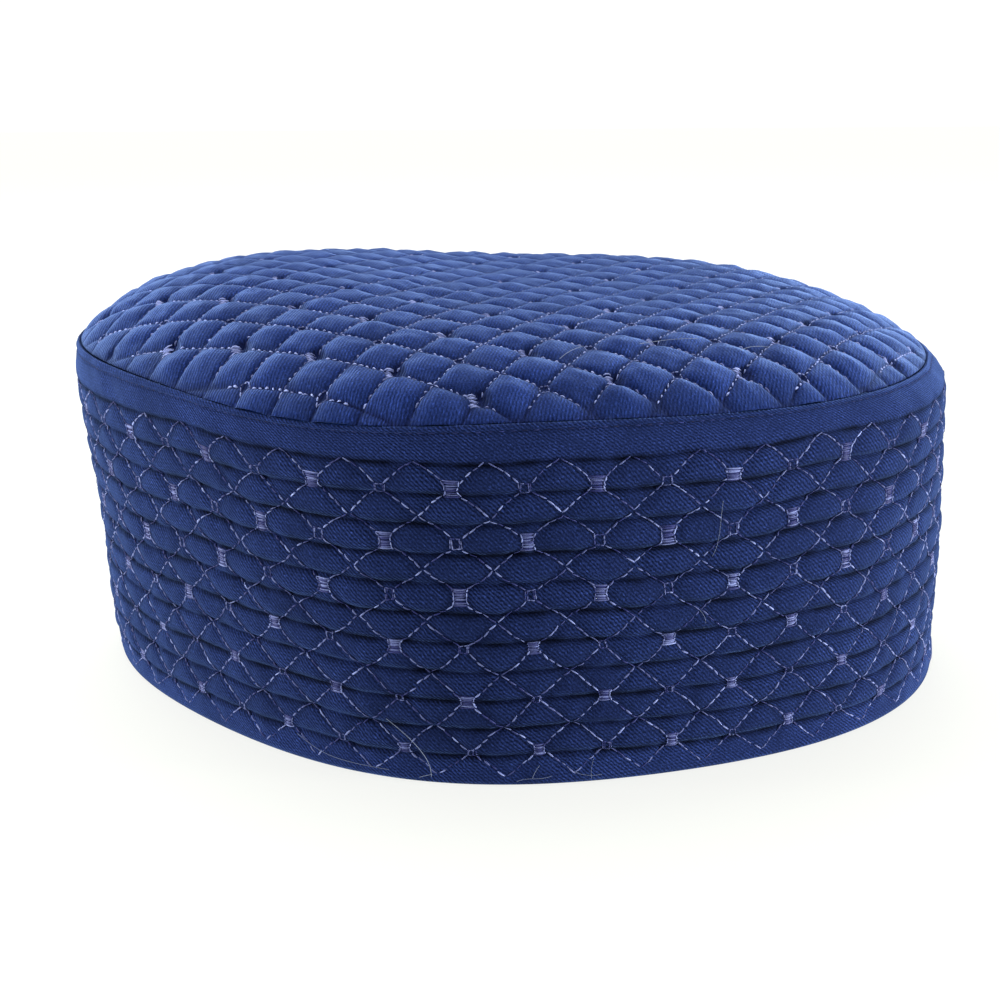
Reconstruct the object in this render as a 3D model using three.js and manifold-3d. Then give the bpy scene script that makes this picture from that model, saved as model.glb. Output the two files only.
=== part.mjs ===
// A kufi in navy cotton twill: an oval padded crown, quilted on a diagonal net, on an upright, ribbed band.
// Millimetres, +Z up. The origin is on the surface the cap rests on, under the middle of the whole cap, and
// +X runs along its length.

import * as THREE from "three";
import Module from "manifold-3d";

const wasm = await Module();
wasm.setup();

// Oval plan of the flat cloth half way up the band. The waves are the uneven shape of a soft cap.
const OVAL_HALF_LENGTH = 104.5;
const OVAL_HALF_WIDTH = 81.5;
const OVAL_WAVES = [
  { times: 3, cosShare: -0.0115, sinShare: 0.0265 },
  { times: 4, cosShare: -0.0005, sinShare: -0.0165 },
  { times: 5, cosShare: -0.0065, sinShare: 0.0005 },
];
const COLUMNS = 84;

// The oval's middle, which the lean leaves a little off the middle of the whole cap.
const OVAL_MIDDLE_X = 5;

// Side band, from the rim up.
const BAND_HEIGHT = 77.6;
const BAND_WALL = 2.9;
const TOP_CHANNEL_HEIGHT = 69.5;
const CHANNEL_SPACING = 6.29;
const CHANNEL_COUNT = 11;
const CHANNEL_DEPTH = 1.0;
const CHANNEL_LIP = 0.8;
const RIB_HEIGHT = 0.3;
const RIB_SHOULDER = 0.28;
const EDGE_ROUND = 0.4;

// How the soft band stands: wider at the top, leaning left and back, its top strip drawn in, its back higher.
// At its right end the strip is drawn in further and so sits lower.
const FLARE = 2.4;
const LEAN_X = -4.0;
const LEAN_Y = 2.4;
const STRIP_DRAWN_IN = 1.4;
const END_DRAWN_IN = 3.0;
const END_DROP = 2.4;
const END_SPREAD_POWER = 4;
const BACK_RISE_PER_MM = 0.00025;

// Crown. Its edge sits just above the band's top edge.
const SEAM_GAP = 0.3;
const CROWN_INSET = 0.4;
const CROWN_EDGE = 1.0;
const CROWN_PADDING = 3.6;
const DOME_HEIGHT = 11.4;
const DOME_FALL_PER_MM = -0.0061;

// The dome's dents and swells: height at the middle of each, and how far it spreads along the oval.
const DOME_SWELLS = [
  { x: -14, height: -1.2, spread: 30 },
  { x: 72, height: 3.2, spread: 40 },
];
const SHOULDER_SHARE = 0.955;

// The dome's shoulder is square at the back, and rounder at the front and the left end.
const SHOULDER_POWER = 6.2;
const SHOULDER_TO_RIGHT = 0.2;
const SHOULDER_TO_BACK = 0.25;

// Quilting net of the crown: half diagonals of a cell, the turn of its axes and the place of one node.
const CELL_HALF_LENGTH = 6.9;
const CELL_HALF_WIDTH = 6.7;
const NET_TURN = THREE.MathUtils.degToRad(16);
const NET_START = new THREE.Vector2(-27.4, -67.3);
const NET_REACH = 26;
const COVER_SHARE = 1.12;
const PUFF_HEIGHT = 0.6;
const STITCH_SINK = 1.1;
const BLOCK_DEPTH = 10;

// Rings of the crown's shell, as shares of the way from its middle to its edge.
const UNDERSIDE_SHARES = [0.4, 0.7, 0.87, 0.945];
const TOP_SHARES = [0.9, 0.8, 0.65, 0.4];

/** Radius of the oval plan at an angle about its middle. */
function ovalRadius(angle) {
  const ellipse =
    1 / Math.hypot(Math.cos(angle) / OVAL_HALF_LENGTH, Math.sin(angle) / OVAL_HALF_WIDTH);
  const waves = OVAL_WAVES.reduce(
    (sum, wave) =>
      sum + wave.cosShare * Math.cos(wave.times * angle) + wave.sinShare * Math.sin(wave.times * angle),
    0,
  );
  return ellipse * (1 + waves);
}

/** The oval as a curve, so that its columns can be spaced evenly along the cloth. */
class OvalCurve extends THREE.Curve {
  getPoint(share, target = new THREE.Vector3()) {
    const angle = (share - 0.25) * 2 * Math.PI;
    const radius = ovalRadius(angle);
    return target.set(radius * Math.cos(angle), radius * Math.sin(angle), 0);
  }
}

/** Angles of the columns, evenly spaced along the oval. */
function columnAngles() {
  const oval = new OvalCurve();
  oval.arcLengthDivisions = 1440;
  return oval
    .getSpacedPoints(COLUMNS)
    .slice(0, COLUMNS)
    .map((point) => Math.atan2(point.y, point.x));
}

/** Share of the way up the top strip at a height of the band. */
function stripShare(height) {
  return Math.max(0, (height - TOP_CHANNEL_HEIGHT) / (BAND_HEIGHT - TOP_CHANNEL_HEIGHT));
}

/** Strength of the right end's own lean at an angle. */
function rightEnd(angle) {
  return Math.max(0, Math.cos(angle)) ** END_SPREAD_POWER;
}

/** How far the cloth stands out from the plan, through the flare and the drawn-in strip. */
function standOut(angle, height) {
  const drawnIn = STRIP_DRAWN_IN + END_DRAWN_IN * rightEnd(angle);
  return FLARE * (height / BAND_HEIGHT - 0.5) - drawnIn * stripShare(height) ** 1.5;
}

/** The real height of a level line of the cloth, at an angle and a distance towards the back. */
function raised(angle, height, y) {
  return (height - END_DROP * rightEnd(angle) * stripShare(height)) * (1 + BACK_RISE_PER_MM * y);
}

/** A point of the band at an angle, a height and a distance out from the flat cloth. */
function bandPoint(angle, height, out) {
  const radius = ovalRadius(angle) + standOut(angle, height) + out;
  const share = height / BAND_HEIGHT;
  const x = radius * Math.cos(angle) + LEAN_X * share;
  const y = radius * Math.sin(angle) + LEAN_Y * share;
  return new THREE.Vector3(x, y, raised(angle, height, y));
}

/** Profile of the band as height and distance out, up the outside and down the inside. */
function bandProfile() {
  const hemTop = TOP_CHANNEL_HEIGHT - (CHANNEL_COUNT - 1) * CHANNEL_SPACING;
  const top = BAND_HEIGHT - SEAM_GAP;
  const profile = [
    [0, -EDGE_ROUND],
    [EDGE_ROUND, 0],
    [hemTop - CHANNEL_LIP, 0],
  ];
  for (let channel = 0; channel < CHANNEL_COUNT; channel += 1) {
    const height = hemTop + channel * CHANNEL_SPACING;
    profile.push([height, -CHANNEL_DEPTH]);
    if (channel < CHANNEL_COUNT - 1) {
      profile.push([height + RIB_SHOULDER * CHANNEL_SPACING, RIB_HEIGHT]);
      profile.push([height + (1 - RIB_SHOULDER) * CHANNEL_SPACING, RIB_HEIGHT]);
    }
  }
  profile.push([TOP_CHANNEL_HEIGHT + CHANNEL_LIP, 0]);
  profile.push([top - EDGE_ROUND, 0]);
  profile.push([top, -EDGE_ROUND]);
  profile.push([top, -BAND_WALL]);
  profile.push([TOP_CHANNEL_HEIGHT, -BAND_WALL]);
  profile.push([0, -BAND_WALL]);
  return profile;
}

/** A mesh body being built: points, and faces that index them. */
class Body {
  constructor() {
    this.points = [];
    this.faces = [];
  }

  /** Adds points and gives the index of each. */
  add(points) {
    const first = this.points.length;
    this.points.push(...points);
    return points.map((_, i) => first + i);
  }

  /** Joins two closed rings of equal count. Seen from outside, the first ring is below the second. */
  joinRings(lower, upper) {
    lower.forEach((a, i) => {
      const next = (i + 1) % lower.length;
      this.faces.push([a, lower[next], upper[next]], [a, upper[next], upper[i]]);
    });
  }

  /** The finished geometry. */
  geometry() {
    const geometry = new THREE.BufferGeometry().setFromPoints(this.points);
    geometry.setIndex(this.faces.flat());
    geometry.computeVertexNormals();
    return geometry;
  }

  /** The same body as a solid that can be cut and met with others. */
  solid() {
    const vertProperties = new Float32Array(this.points.flatMap((point) => point.toArray()));
    const triVerts = new Uint32Array(this.faces.flat());
    return new wasm.Manifold(new wasm.Mesh({ numProp: 3, vertProperties, triVerts }));
  }
}

/** The upright ring of ribbed cloth, open at the rim and at the top. */
function sideBandGeometry() {
  const body = new Body();
  const angles = columnAngles();
  const rings = bandProfile().map(([height, out]) =>
    body.add(angles.map((angle) => bandPoint(angle, height, out))),
  );
  rings.forEach((ring, i) => body.joinRings(ring, rings[(i + 1) % rings.length]));
  return body.geometry();
}

/** Radius of the crown's edge at an angle about the crown's middle. */
function crownRadius(angle) {
  return ovalRadius(angle) + standOut(angle, BAND_HEIGHT) - CROWN_INSET;
}

/** Place of a plan point as an angle about the crown's middle and a share of the way to its edge. */
function crownPlace(x, y) {
  const angle = Math.atan2(y - LEAN_Y, x - LEAN_X);
  return { angle, share: Math.hypot(x - LEAN_X, y - LEAN_Y) / crownRadius(angle) };
}

/** Height of the crown's foot under a plan point, level with the band's top edge. */
function crownSeat(x, y) {
  return raised(crownPlace(x, y).angle, BAND_HEIGHT, y);
}

/** Height of the crown's smooth top over a plan point, without the puffs. */
function crownTop(x, y) {
  const { angle, share } = crownPlace(x, y);
  const inner = Math.min(share, 1);
  const power =
    SHOULDER_POWER * (1 + SHOULDER_TO_RIGHT * Math.cos(angle) + SHOULDER_TO_BACK * Math.sin(angle));
  const dome = DOME_SWELLS.reduce(
    (height, swell) => height + swell.height * Math.exp(-(((x - swell.x) / swell.spread) ** 2)),
    DOME_HEIGHT * (1 + DOME_FALL_PER_MM * x),
  );
  const level = raised(Math.PI, BAND_HEIGHT, y);
  return level + (crownSeat(x, y) - level) * inner + CROWN_EDGE + dome * (1 - inner ** power);
}

/** A ring of the crown at a share of the way to its edge, with heights from a function. */
function crownRing(angles, share, heightAt) {
  return angles.map((angle) => {
    const x = LEAN_X + share * crownRadius(angle) * Math.cos(angle);
    const y = LEAN_Y + share * crownRadius(angle) * Math.sin(angle);
    return new THREE.Vector3(x, y, heightAt(x, y));
  });
}

/** Plan point of the quilting net at two counts of half cells along its axes. */
function netPoint(along, across) {
  return new THREE.Vector2(along * CELL_HALF_LENGTH, across * CELL_HALF_WIDTH)
    .rotateAround(new THREE.Vector2(), NET_TURN)
    .add(NET_START);
}

/** A block under the quilted net: each cell is a puff, high at its middle and stitched down at its corners. */
function quiltedBlock() {
  const body = new Body();
  const corners = new Map();
  const floor = new Map();
  const indexOf = (found, along, across, heightAt) => {
    const key = `${along},${across}`;
    if (!found.has(key)) {
      const { x, y } = netPoint(along, across);
      found.set(key, body.add([new THREE.Vector3(x, y, heightAt(x, y))])[0]);
    }
    return found.get(key);
  };
  const stitched = (x, y) => crownTop(x, y) - (crownPlace(x, y).share < 1 ? STITCH_SINK : 0);
  const edges = new Map();
  for (let along = -NET_REACH; along <= NET_REACH; along += 1) {
    for (let across = -NET_REACH; across <= NET_REACH; across += 1) {
      const { x, y } = netPoint(along, across);
      if ((along + across) % 2 === 0 || crownPlace(x, y).share > COVER_SHARE) continue;
      const round = [
        [along - 1, across],
        [along, across - 1],
        [along + 1, across],
        [along, across + 1],
      ];
      const [middle] = body.add([new THREE.Vector3(x, y, crownTop(x, y) + PUFF_HEIGHT)]);
      const upper = round.map(([a, b]) => indexOf(corners, a, b, stitched));
      const lower = round.map(([a, b]) => indexOf(floor, a, b, () => BAND_HEIGHT - BLOCK_DEPTH));
      body.faces.push([lower[0], lower[2], lower[1]], [lower[0], lower[3], lower[2]]);
      upper.forEach((corner, i) => {
        const next = (i + 1) % 4;
        body.faces.push([corner, upper[next], middle]);
        edges.set(`${corner},${upper[next]}`, [corner, upper[next], lower[i], lower[next]]);
      });
    }
  }
  edges.forEach(([a, b, under, underNext]) => {
    if (!edges.has(`${b},${a}`)) body.faces.push([a, under, underNext], [a, underNext, b]);
  });
  return body;
}

/** The crown's shell: a rolled edge, a top that clears the puffs, and a smooth underside that follows the dome. */
function crownShell() {
  const body = new Body();
  const angles = columnAngles();
  const clearTop = (x, y) => crownTop(x, y) + 2 * PUFF_HEIGHT;
  const underside = (x, y) => Math.max(crownSeat(x, y), crownTop(x, y) - CROWN_PADDING);
  const rings = [
    ...UNDERSIDE_SHARES.map((share) => crownRing(angles, share, underside)),
    crownRing(angles, 1, crownSeat),
    crownRing(angles, 1, crownTop),
    crownRing(angles, SHOULDER_SHARE, crownTop),
    ...TOP_SHARES.map((share) => crownRing(angles, share, clearTop)),
  ].map((ring) => body.add(ring));
  rings.slice(1).forEach((ring, i) => body.joinRings(rings[i], ring));
  const [below, above] = body.add(
    [underside, clearTop].map((heightAt) => new THREE.Vector3(LEAN_X, LEAN_Y, heightAt(LEAN_X, LEAN_Y))),
  );
  const innermost = rings[0];
  const uppermost = rings.at(-1);
  angles.forEach((_, i) => {
    const next = (i + 1) % angles.length;
    body.faces.push([innermost[i], below, innermost[next]], [uppermost[i], uppermost[next], above]);
  });
  return body;
}

/** The padded crown: the part of its shell that lies under the quilted net. */
function crownGeometry() {
  const solid = crownShell().solid().intersect(quiltedBlock().solid());
  const mesh = solid.getMesh();
  const geometry = new THREE.BufferGeometry();
  geometry.setAttribute("position", new THREE.BufferAttribute(mesh.vertProperties, 3));
  geometry.setIndex(new THREE.BufferAttribute(mesh.triVerts, 1));
  geometry.computeVertexNormals();
  return geometry;
}

/** A named piece with its own cloth material. */
function piece(name, geometry, color, roughness) {
  const mesh = new THREE.Mesh(
    geometry,
    new THREE.MeshStandardMaterial({ color, roughness, metalness: 0 }),
  );
  mesh.name = name;
  return mesh;
}

const kufi = new THREE.Group();
kufi.position.x = OVAL_MIDDLE_X;
kufi.add(piece("side_band", sideBandGeometry(), 0x1d2a66, 0.9));
kufi.add(piece("crown", crownGeometry(), 0x26387a, 0.9));

export default kufi;
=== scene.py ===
"""A kufi in navy cotton twill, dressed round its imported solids.

An oval cap that stands on its rim. Its padded crown is quilted on a diagonal net, and its upright band has
stuffed ribs between sewn channels. Both are embroidered with a net of periwinkle rayon thread. The pattern's
own values are in millimetres, and what goes into Blender is in metres.
"""

import logging
import math
from dataclasses import dataclass, field
from enum import Enum
from functools import cached_property, partial
from typing import Any, Callable

import bpy
import numpy as np
from mathutils import Matrix, Vector


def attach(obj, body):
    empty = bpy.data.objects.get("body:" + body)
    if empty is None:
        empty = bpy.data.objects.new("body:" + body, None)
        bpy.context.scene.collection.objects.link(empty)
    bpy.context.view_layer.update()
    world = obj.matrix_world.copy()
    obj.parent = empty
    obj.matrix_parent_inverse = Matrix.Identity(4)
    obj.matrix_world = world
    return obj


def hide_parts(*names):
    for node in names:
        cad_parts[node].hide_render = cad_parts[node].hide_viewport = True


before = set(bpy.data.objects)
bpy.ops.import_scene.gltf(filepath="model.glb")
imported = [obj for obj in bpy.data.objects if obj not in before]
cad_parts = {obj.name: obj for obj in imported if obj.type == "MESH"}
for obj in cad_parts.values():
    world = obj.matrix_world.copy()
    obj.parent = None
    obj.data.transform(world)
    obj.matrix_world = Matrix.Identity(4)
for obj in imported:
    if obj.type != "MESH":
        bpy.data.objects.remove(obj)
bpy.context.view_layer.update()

Array = np.ndarray
LOG = logging.getLogger("kufi")
MM = 0.001
ROOT = "root"
CLOTH_UV = "cloth"
# Names the vertex attribute of painted shade: how far each place's colour goes towards a darker colour where
# shade would fall.
PAINTED_SHADE_ATTRIBUTE = "depth"
HELD_ATTRIBUTE = "held"
SHADE_ATTRIBUTE = "shade"
DASH_JITTER = 0.05


class Node(Enum):
    """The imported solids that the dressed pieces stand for."""

    CROWN = "crown"
    SIDE_BAND = "side_band"


class Slot(Enum):
    """Names of the material slots."""

    CROWN_TWILL = "crown_twill"
    BAND_TWILL = "band_twill"
    THREAD = "embroidery_thread"


def linear(code: str) -> tuple[float, ...]:
    """Turns an sRGB hex colour into a linear one.

    Args:
        code: six hex digits.

    Returns:
        Linear red, green and blue, and full alpha.
    """
    shares = (int(code[i : i + 2], 16) / 255 for i in (0, 2, 4))
    return (*(c / 12.92 if c <= 0.04045 else ((c + 0.055) / 1.055) ** 2.4 for c in shares), 1.0)


def blank_material(name: str) -> tuple[bpy.types.Material, bpy.types.NodeTree]:
    """Makes a named material, and empties its node tree.

    Args:
        name: its name.

    Returns:
        The material and its node tree.
    """
    material = bpy.data.materials.new(name)
    material.use_nodes = True
    material.node_tree.nodes.clear()
    return material, material.node_tree


def add_node(
    tree: bpy.types.NodeTree, kind: str, inputs: dict[Any, Any] | None = None, **settings: Any
) -> bpy.types.Node:
    """Adds a shader node with its settings and links.

    Args:
        tree: the material's node tree.
        kind: the node's type, without the words that all of them start with.
        inputs: for each socket its value, the output that feeds it, or a node whose first output feeds it.
        settings: the node's properties by name.

    Returns:
        The new node.
    """
    node = tree.nodes.new("ShaderNode" + kind)
    for name, value in settings.items():
        setattr(node, name, value)
    for socket, value in (inputs or {}).items():
        if isinstance(value, bpy.types.Node):
            value = value.outputs[0]
        if isinstance(value, bpy.types.NodeSocket):
            tree.links.new(value, node.inputs[socket])
        else:
            node.inputs[socket].default_value = value
    return node


def deselect_all() -> None:
    """Leaves no object selected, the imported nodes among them."""
    if bpy.context.object and bpy.context.object.mode != "OBJECT":
        bpy.ops.object.mode_set(mode="OBJECT")
    for thing in bpy.context.selected_objects:
        thing.select_set(False)


def begin(thing: bpy.types.Object) -> None:
    """Makes an object the only selected one and the active one.

    Args:
        thing: the object.
    """
    deselect_all()
    thing.select_set(True)
    bpy.context.view_layer.objects.active = thing


def select_in(thing: bpy.types.Object, kind: str, chosen: Callable[[Any], bool]) -> None:
    """Selects a mesh's vertices, edges or faces in code, and leaves the object in edit mode.

    Args:
        thing: the mesh object.
        kind: VERT, EDGE or FACE.
        chosen: says of each one whether it is selected.
    """
    begin(thing)
    bpy.ops.object.mode_set(mode="EDIT")
    bpy.ops.mesh.select_mode(type=kind)
    bpy.ops.mesh.select_all(action="DESELECT")
    bpy.ops.object.mode_set(mode="OBJECT")
    mesh = thing.data
    for part in {"VERT": mesh.vertices, "EDGE": mesh.edges, "FACE": mesh.polygons}[kind]:
        part.select = chosen(part)
    bpy.ops.object.mode_set(mode="EDIT")


def points_of(mesh: bpy.types.Mesh) -> Array:
    """The mesh's vertices as an array, one row each.

    Args:
        mesh: the mesh.

    Returns:
        Their places.
    """
    flat = np.empty(len(mesh.vertices) * 3, np.float32)
    mesh.vertices.foreach_get("co", flat)
    return flat.reshape(-1, 3).astype(float)


def move_points(mesh: bpy.types.Mesh, points_mm: Array) -> None:
    """Moves a mesh's vertices to places in millimetres."""
    mesh.vertices.foreach_set("co", (points_mm * MM).astype(np.float32).ravel())
    mesh.update()


def set_attribute(mesh: bpy.types.Mesh, name: str, values: Array) -> None:
    """Writes one number per vertex as a named attribute."""
    attribute = mesh.attributes.new(name, "FLOAT", "POINT")
    attribute.data.foreach_set("value", values.astype(np.float32).ravel())


def attribute_of(mesh: bpy.types.Mesh, name: str) -> Array:
    """Reads one number per vertex from a named attribute.

    Args:
        mesh: the mesh.
        name: its name.

    Returns:
        The numbers.
    """
    values = np.empty(len(mesh.vertices), np.float32)
    mesh.attributes[name].data.foreach_get("value", values)
    return values


def set_cloth_uv(mesh: bpy.types.Mesh, places_mm: Array) -> None:
    """Gives each corner its vertex's place on the flat cloth, in metres of cloth.

    Args:
        mesh: the mesh.
        places_mm: each vertex's place on the flat cloth, in millimetres.
    """
    layer = mesh.uv_layers.get(CLOTH_UV) or mesh.uv_layers.new(name=CLOTH_UV)
    corner_vertices = np.empty(len(mesh.loops), np.int32)
    mesh.loops.foreach_get("vertex_index", corner_vertices)
    layer.data.foreach_set("uv", (places_mm[corner_vertices] * MM).astype(np.float32).ravel())


def cloth_grid(name: str, columns: int, rows: int) -> tuple[bpy.types.Object, Array, Array]:
    """Lays out a flat grid of cloth to be shaped. Its face side turns outward once it is laid round the cap.

    Args:
        name: the piece's name.
        columns: faces along the cloth.
        rows: faces across it.

    Returns:
        The object, and for each vertex its column and its row.
    """
    deselect_all()
    bpy.ops.mesh.primitive_grid_add(x_subdivisions=columns, y_subdivisions=rows, size=2, location=(0, 0, 0))
    bpy.ops.object.mode_set(mode="EDIT")
    bpy.ops.mesh.select_all(action="SELECT")
    bpy.ops.mesh.flip_normals()
    bpy.ops.object.mode_set(mode="OBJECT")
    cloth = bpy.context.object
    cloth.name = name
    cloth.data.name = name
    while cloth.data.uv_layers:
        cloth.data.uv_layers.remove(cloth.data.uv_layers[0])
    flat = points_of(cloth.data)
    column = np.rint((flat[:, 0] + 1) / 2 * columns).astype(int)
    row = np.rint((flat[:, 1] + 1) / 2 * rows).astype(int)
    return cloth, column, row


def finish_piece(thing: bpy.types.Object, material: bpy.types.Material) -> bpy.types.Object:
    """Gives a piece its material, its smooth shading and its ride on the cap's one body.

    Args:
        thing: the object.
        material: the material that it gets.

    Returns:
        The same object.
    """
    begin(thing)
    thing.data.materials.clear()
    thing.data.materials.append(material)
    bpy.ops.object.shade_smooth()
    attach(thing, ROOT)
    LOG.info("%s: %d faces", thing.name, len(thing.data.polygons))
    return thing


@dataclass(frozen=True)
class ClothSettling:
    """Settles stitched cloth over its padding by simulation: pressed out from inside, held by its stitching.

    Args:
        pressure: the padding's push.
        furthest: about the most that a point moves, in millimetres.
        frames: frames that it settles for.
        evened: how often each free point takes its neighbours' mean movement, which irons out tiny creases.
        enlarged: the solver's units for one millimetre, because the solver suits pieces some metres long.
    """

    pressure: float
    furthest: float
    frames: int = 9
    evened: int = 3
    enlarged: float = 0.1

    def settle(self, cloth: bpy.types.Object) -> None:
        """Simulates a sheet whose held vertices stay, and leaves the moved sheet in place.

        Args:
            cloth: the sheet, with its held vertices marked.
        """
        mesh = cloth.data
        start = points_of(mesh) / MM
        held = np.nonzero(attribute_of(mesh, HELD_ATTRIBUTE) > 0.5)[0]
        move_points(mesh, start * self.enlarged / MM)
        begin(cloth)
        group = cloth.vertex_groups.new(name=HELD_ATTRIBUTE)
        group.add([int(index) for index in held], 1.0, "REPLACE")
        bpy.ops.object.modifier_add(type="CLOTH")
        modifier = cloth.modifiers[-1]
        settings = modifier.settings
        settings.quality = 4
        settings.vertex_group_mass = group.name
        settings.use_pressure = True
        settings.uniform_pressure_force = self.pressure
        settings.effector_weights.gravity = 0
        modifier.collision_settings.use_collision = False
        modifier.point_cache.frame_start, modifier.point_cache.frame_end = 1, self.frames
        for frame_number in range(1, self.frames + 1):
            bpy.context.scene.frame_set(frame_number)
        bpy.ops.object.modifier_apply(modifier=modifier.name)
        bpy.context.scene.frame_set(1)
        cloth.vertex_groups.clear()
        moved = self.even_out(mesh, points_of(mesh) / self.enlarged - start, held)
        far = np.linalg.norm(moved, axis=1)
        eased = self.furthest * (1 - np.exp(-far / self.furthest)) / np.maximum(far, 1e-6)
        move_points(mesh, start + moved * eased[:, None])
        LOG.info("%s: settled, moved %.2f mm at most", cloth.name, float((far * eased).max()))

    def even_out(self, mesh: bpy.types.Mesh, moved: Array, held: Array) -> Array:
        """Spreads each free point's movement over its neighbours.

        Args:
            mesh: the cloth's mesh.
            moved: how far each point moved.
            held: the points that stay.

        Returns:
            The evened movements.
        """
        ends = np.empty(len(mesh.edges) * 2, np.int32)
        mesh.edges.foreach_get("vertices", ends)
        first, last = ends.reshape(-1, 2).T
        neighbours = np.bincount(ends, minlength=len(moved))[:, None]
        for _ in range(self.evened):
            moved = np.stack([self.passed_on(first, last, along) for along in moved.T], 1) / neighbours
            moved[held] = 0
        return moved

    def passed_on(self, first: Array, last: Array, values: Array) -> Array:
        """Sums each point's neighbours' values along the edges from the first points to the last."""
        count = len(values)
        return np.bincount(first, values[last], count) + np.bincount(last, values[first], count)


@dataclass(frozen=True)
class Ripples:
    """Soft unevenness: many sine waves of seeded length, direction and phase, which close round the band.

    Args:
        seed: which draw of waves.
        shortest: the shortest wave, in millimetres.
        longest: the longest wave.
        height: the waves' usual height.
        round_length: the length along which they repeat.
        count: how many waves.
    """

    seed: int
    shortest: float
    longest: float
    height: float
    round_length: float = 588.0
    count: int = 20

    @cached_property
    def waves(self) -> Array:
        """For each wave its turns along, its turns across and its phase, in radians per millimetre.

        Returns:
            One row for each.
        """
        draw = np.random.default_rng(self.seed)
        length = self.shortest * (self.longest / self.shortest) ** draw.random(self.count)
        heading = draw.random(self.count) * 2 * math.pi
        along = np.rint(np.cos(heading) * self.round_length / length) / self.round_length
        across = np.sin(heading) / length
        return np.stack((2 * math.pi * along, 2 * math.pi * across, draw.random(self.count) * 2 * math.pi), 1)

    def at(self, along: Array, across: Array) -> Array:
        """The unevenness at places on the cloth.

        Args:
            along: places along the cloth.
            across: places across the cloth.

        Returns:
            Heights in millimetres.
        """
        total = np.zeros(np.broadcast(along, across).shape)
        for turn_along, turn_across, phase in self.waves:
            total += np.sin(turn_along * along + turn_across * across + phase)
        return total * self.height / math.sqrt(self.count / 2)


@dataclass(frozen=True)
class PlanWave:
    """One wave of the soft oval's uneven outline."""

    times: int
    cos_share: float
    sin_share: float


@dataclass(frozen=True)
class OvalPlan:
    """The oval plan of the flat cloth, half way up the band."""

    half_length: float = 104.5
    half_width: float = 81.5
    middle_x: float = 5.0
    waves: tuple[PlanWave, ...] = (
        PlanWave(3, -0.0115, 0.0265),
        PlanWave(4, -0.0005, -0.0165),
        PlanWave(5, -0.0065, 0.0005),
    )
    track_points: int = 7200

    def radius(self, angle: Array) -> Array:
        """The oval's radius at angles about its middle.

        Args:
            angle: angles about the oval's middle.

        Returns:
            Distances from the middle.
        """
        ellipse = 1 / np.hypot(np.cos(angle) / self.half_length, np.sin(angle) / self.half_width)
        share = 1.0
        for wave in self.waves:
            turned = wave.times * angle
            share = share + wave.cos_share * np.cos(turned) + wave.sin_share * np.sin(turned)
        return ellipse * share

    @cached_property
    def track(self) -> tuple[Array, Array]:
        """Lengths round the oval from the middle of its front, and the angle at each.

        Returns:
            The lengths and the angles.
        """
        angles = np.linspace(-math.pi / 2, 3 * math.pi / 2, self.track_points + 1)
        radius = self.radius(angles)
        steps = np.hypot(np.diff(radius * np.cos(angles)), np.diff(radius * np.sin(angles)))
        return np.concatenate(([0.0], np.cumsum(steps))), angles

    @property
    def round_length(self) -> float:
        """The length once round."""
        return float(self.track[0][-1])

    def angle_at(self, arc: Array) -> Array:
        """The angle at lengths round the oval."""
        lengths, angles = self.track
        return np.interp(np.mod(arc, lengths[-1]), lengths, angles)


@dataclass(frozen=True)
class SeamDroop:
    """How far the soft seam hangs below its level in front.

    Args:
        parts: for each place where it hangs, its angle in degrees, its depth and its spread in degrees.
    """

    parts: tuple[tuple[float, float, float], ...] = ((-118.0, 2.3, 24.0), (-52.0, 1.6, 32.0))

    def depth(self, angle: Array) -> Array:
        """How far it hangs at angles about the middle.

        Args:
            angle: angles about the oval's middle.

        Returns:
            Depths in millimetres.
        """
        depth = np.zeros_like(angle)
        for middle, deepest, spread in self.parts:
            away = np.mod(np.degrees(angle) - middle + 180, 360) - 180
            depth = depth + deepest * np.exp(-((away / spread) ** 2))
        return depth


@dataclass(frozen=True)
class BandForm:
    """How the soft band stands: wider at the top, leaning left and back, its strip drawn in."""

    plan: OvalPlan
    height: float = 77.6
    wall: float = 2.9
    top_channel: float = 69.5
    flare: float = 2.4
    lean_x: float = -4.0
    lean_y: float = 2.4
    strip_drawn_in: float = 1.4
    end_drawn_in: float = 3.0
    draw_power: float = 1.5
    end_drop: float = 2.4
    end_spread_power: float = 4.0
    back_rise_per_mm: float = 0.00025

    def strip_share(self, height: Array) -> Array:
        """Share of the way up the plain top strip."""
        return np.maximum(0, (height - self.top_channel) / (self.height - self.top_channel))

    def right_end(self, angle: Array) -> Array:
        """Strength of the right end's own lean."""
        return np.maximum(0, np.cos(angle)) ** self.end_spread_power

    def stand_out(self, angle: Array, height: Array) -> Array:
        """How far the flat cloth stands out from the plan.

        Args:
            angle: angles about the oval's middle.
            height: heights on the band.

        Returns:
            Distances in millimetres.
        """
        drawn_in = self.strip_drawn_in + self.end_drawn_in * self.right_end(angle)
        lean = self.flare * (height / self.height - 0.5)
        return lean - drawn_in * self.strip_share(height) ** self.draw_power

    def raised(self, angle: Array, height: Array, y: Array) -> Array:
        """The real height of a level line of the cloth."""
        dropped = height - self.end_drop * self.right_end(angle) * self.strip_share(height)
        return dropped * (1 + self.back_rise_per_mm * y)

    def point(self, arc: Array, height: Array, out: Array) -> Array:
        """Places on the band.

        Args:
            arc: lengths round the plan from the middle of its front.
            height: heights on the flat cloth.
            out: distances out from the flat cloth.

        Returns:
            Points in the row frame, in millimetres.
        """
        angle = self.plan.angle_at(arc)
        radius = self.plan.radius(angle) + self.stand_out(angle, height) + out
        share = height / self.height
        x = radius * np.cos(angle) + self.lean_x * share
        y = radius * np.sin(angle) + self.lean_y * share
        return np.stack((x + self.plan.middle_x, y, self.raised(angle, height, y)), -1)


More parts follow.
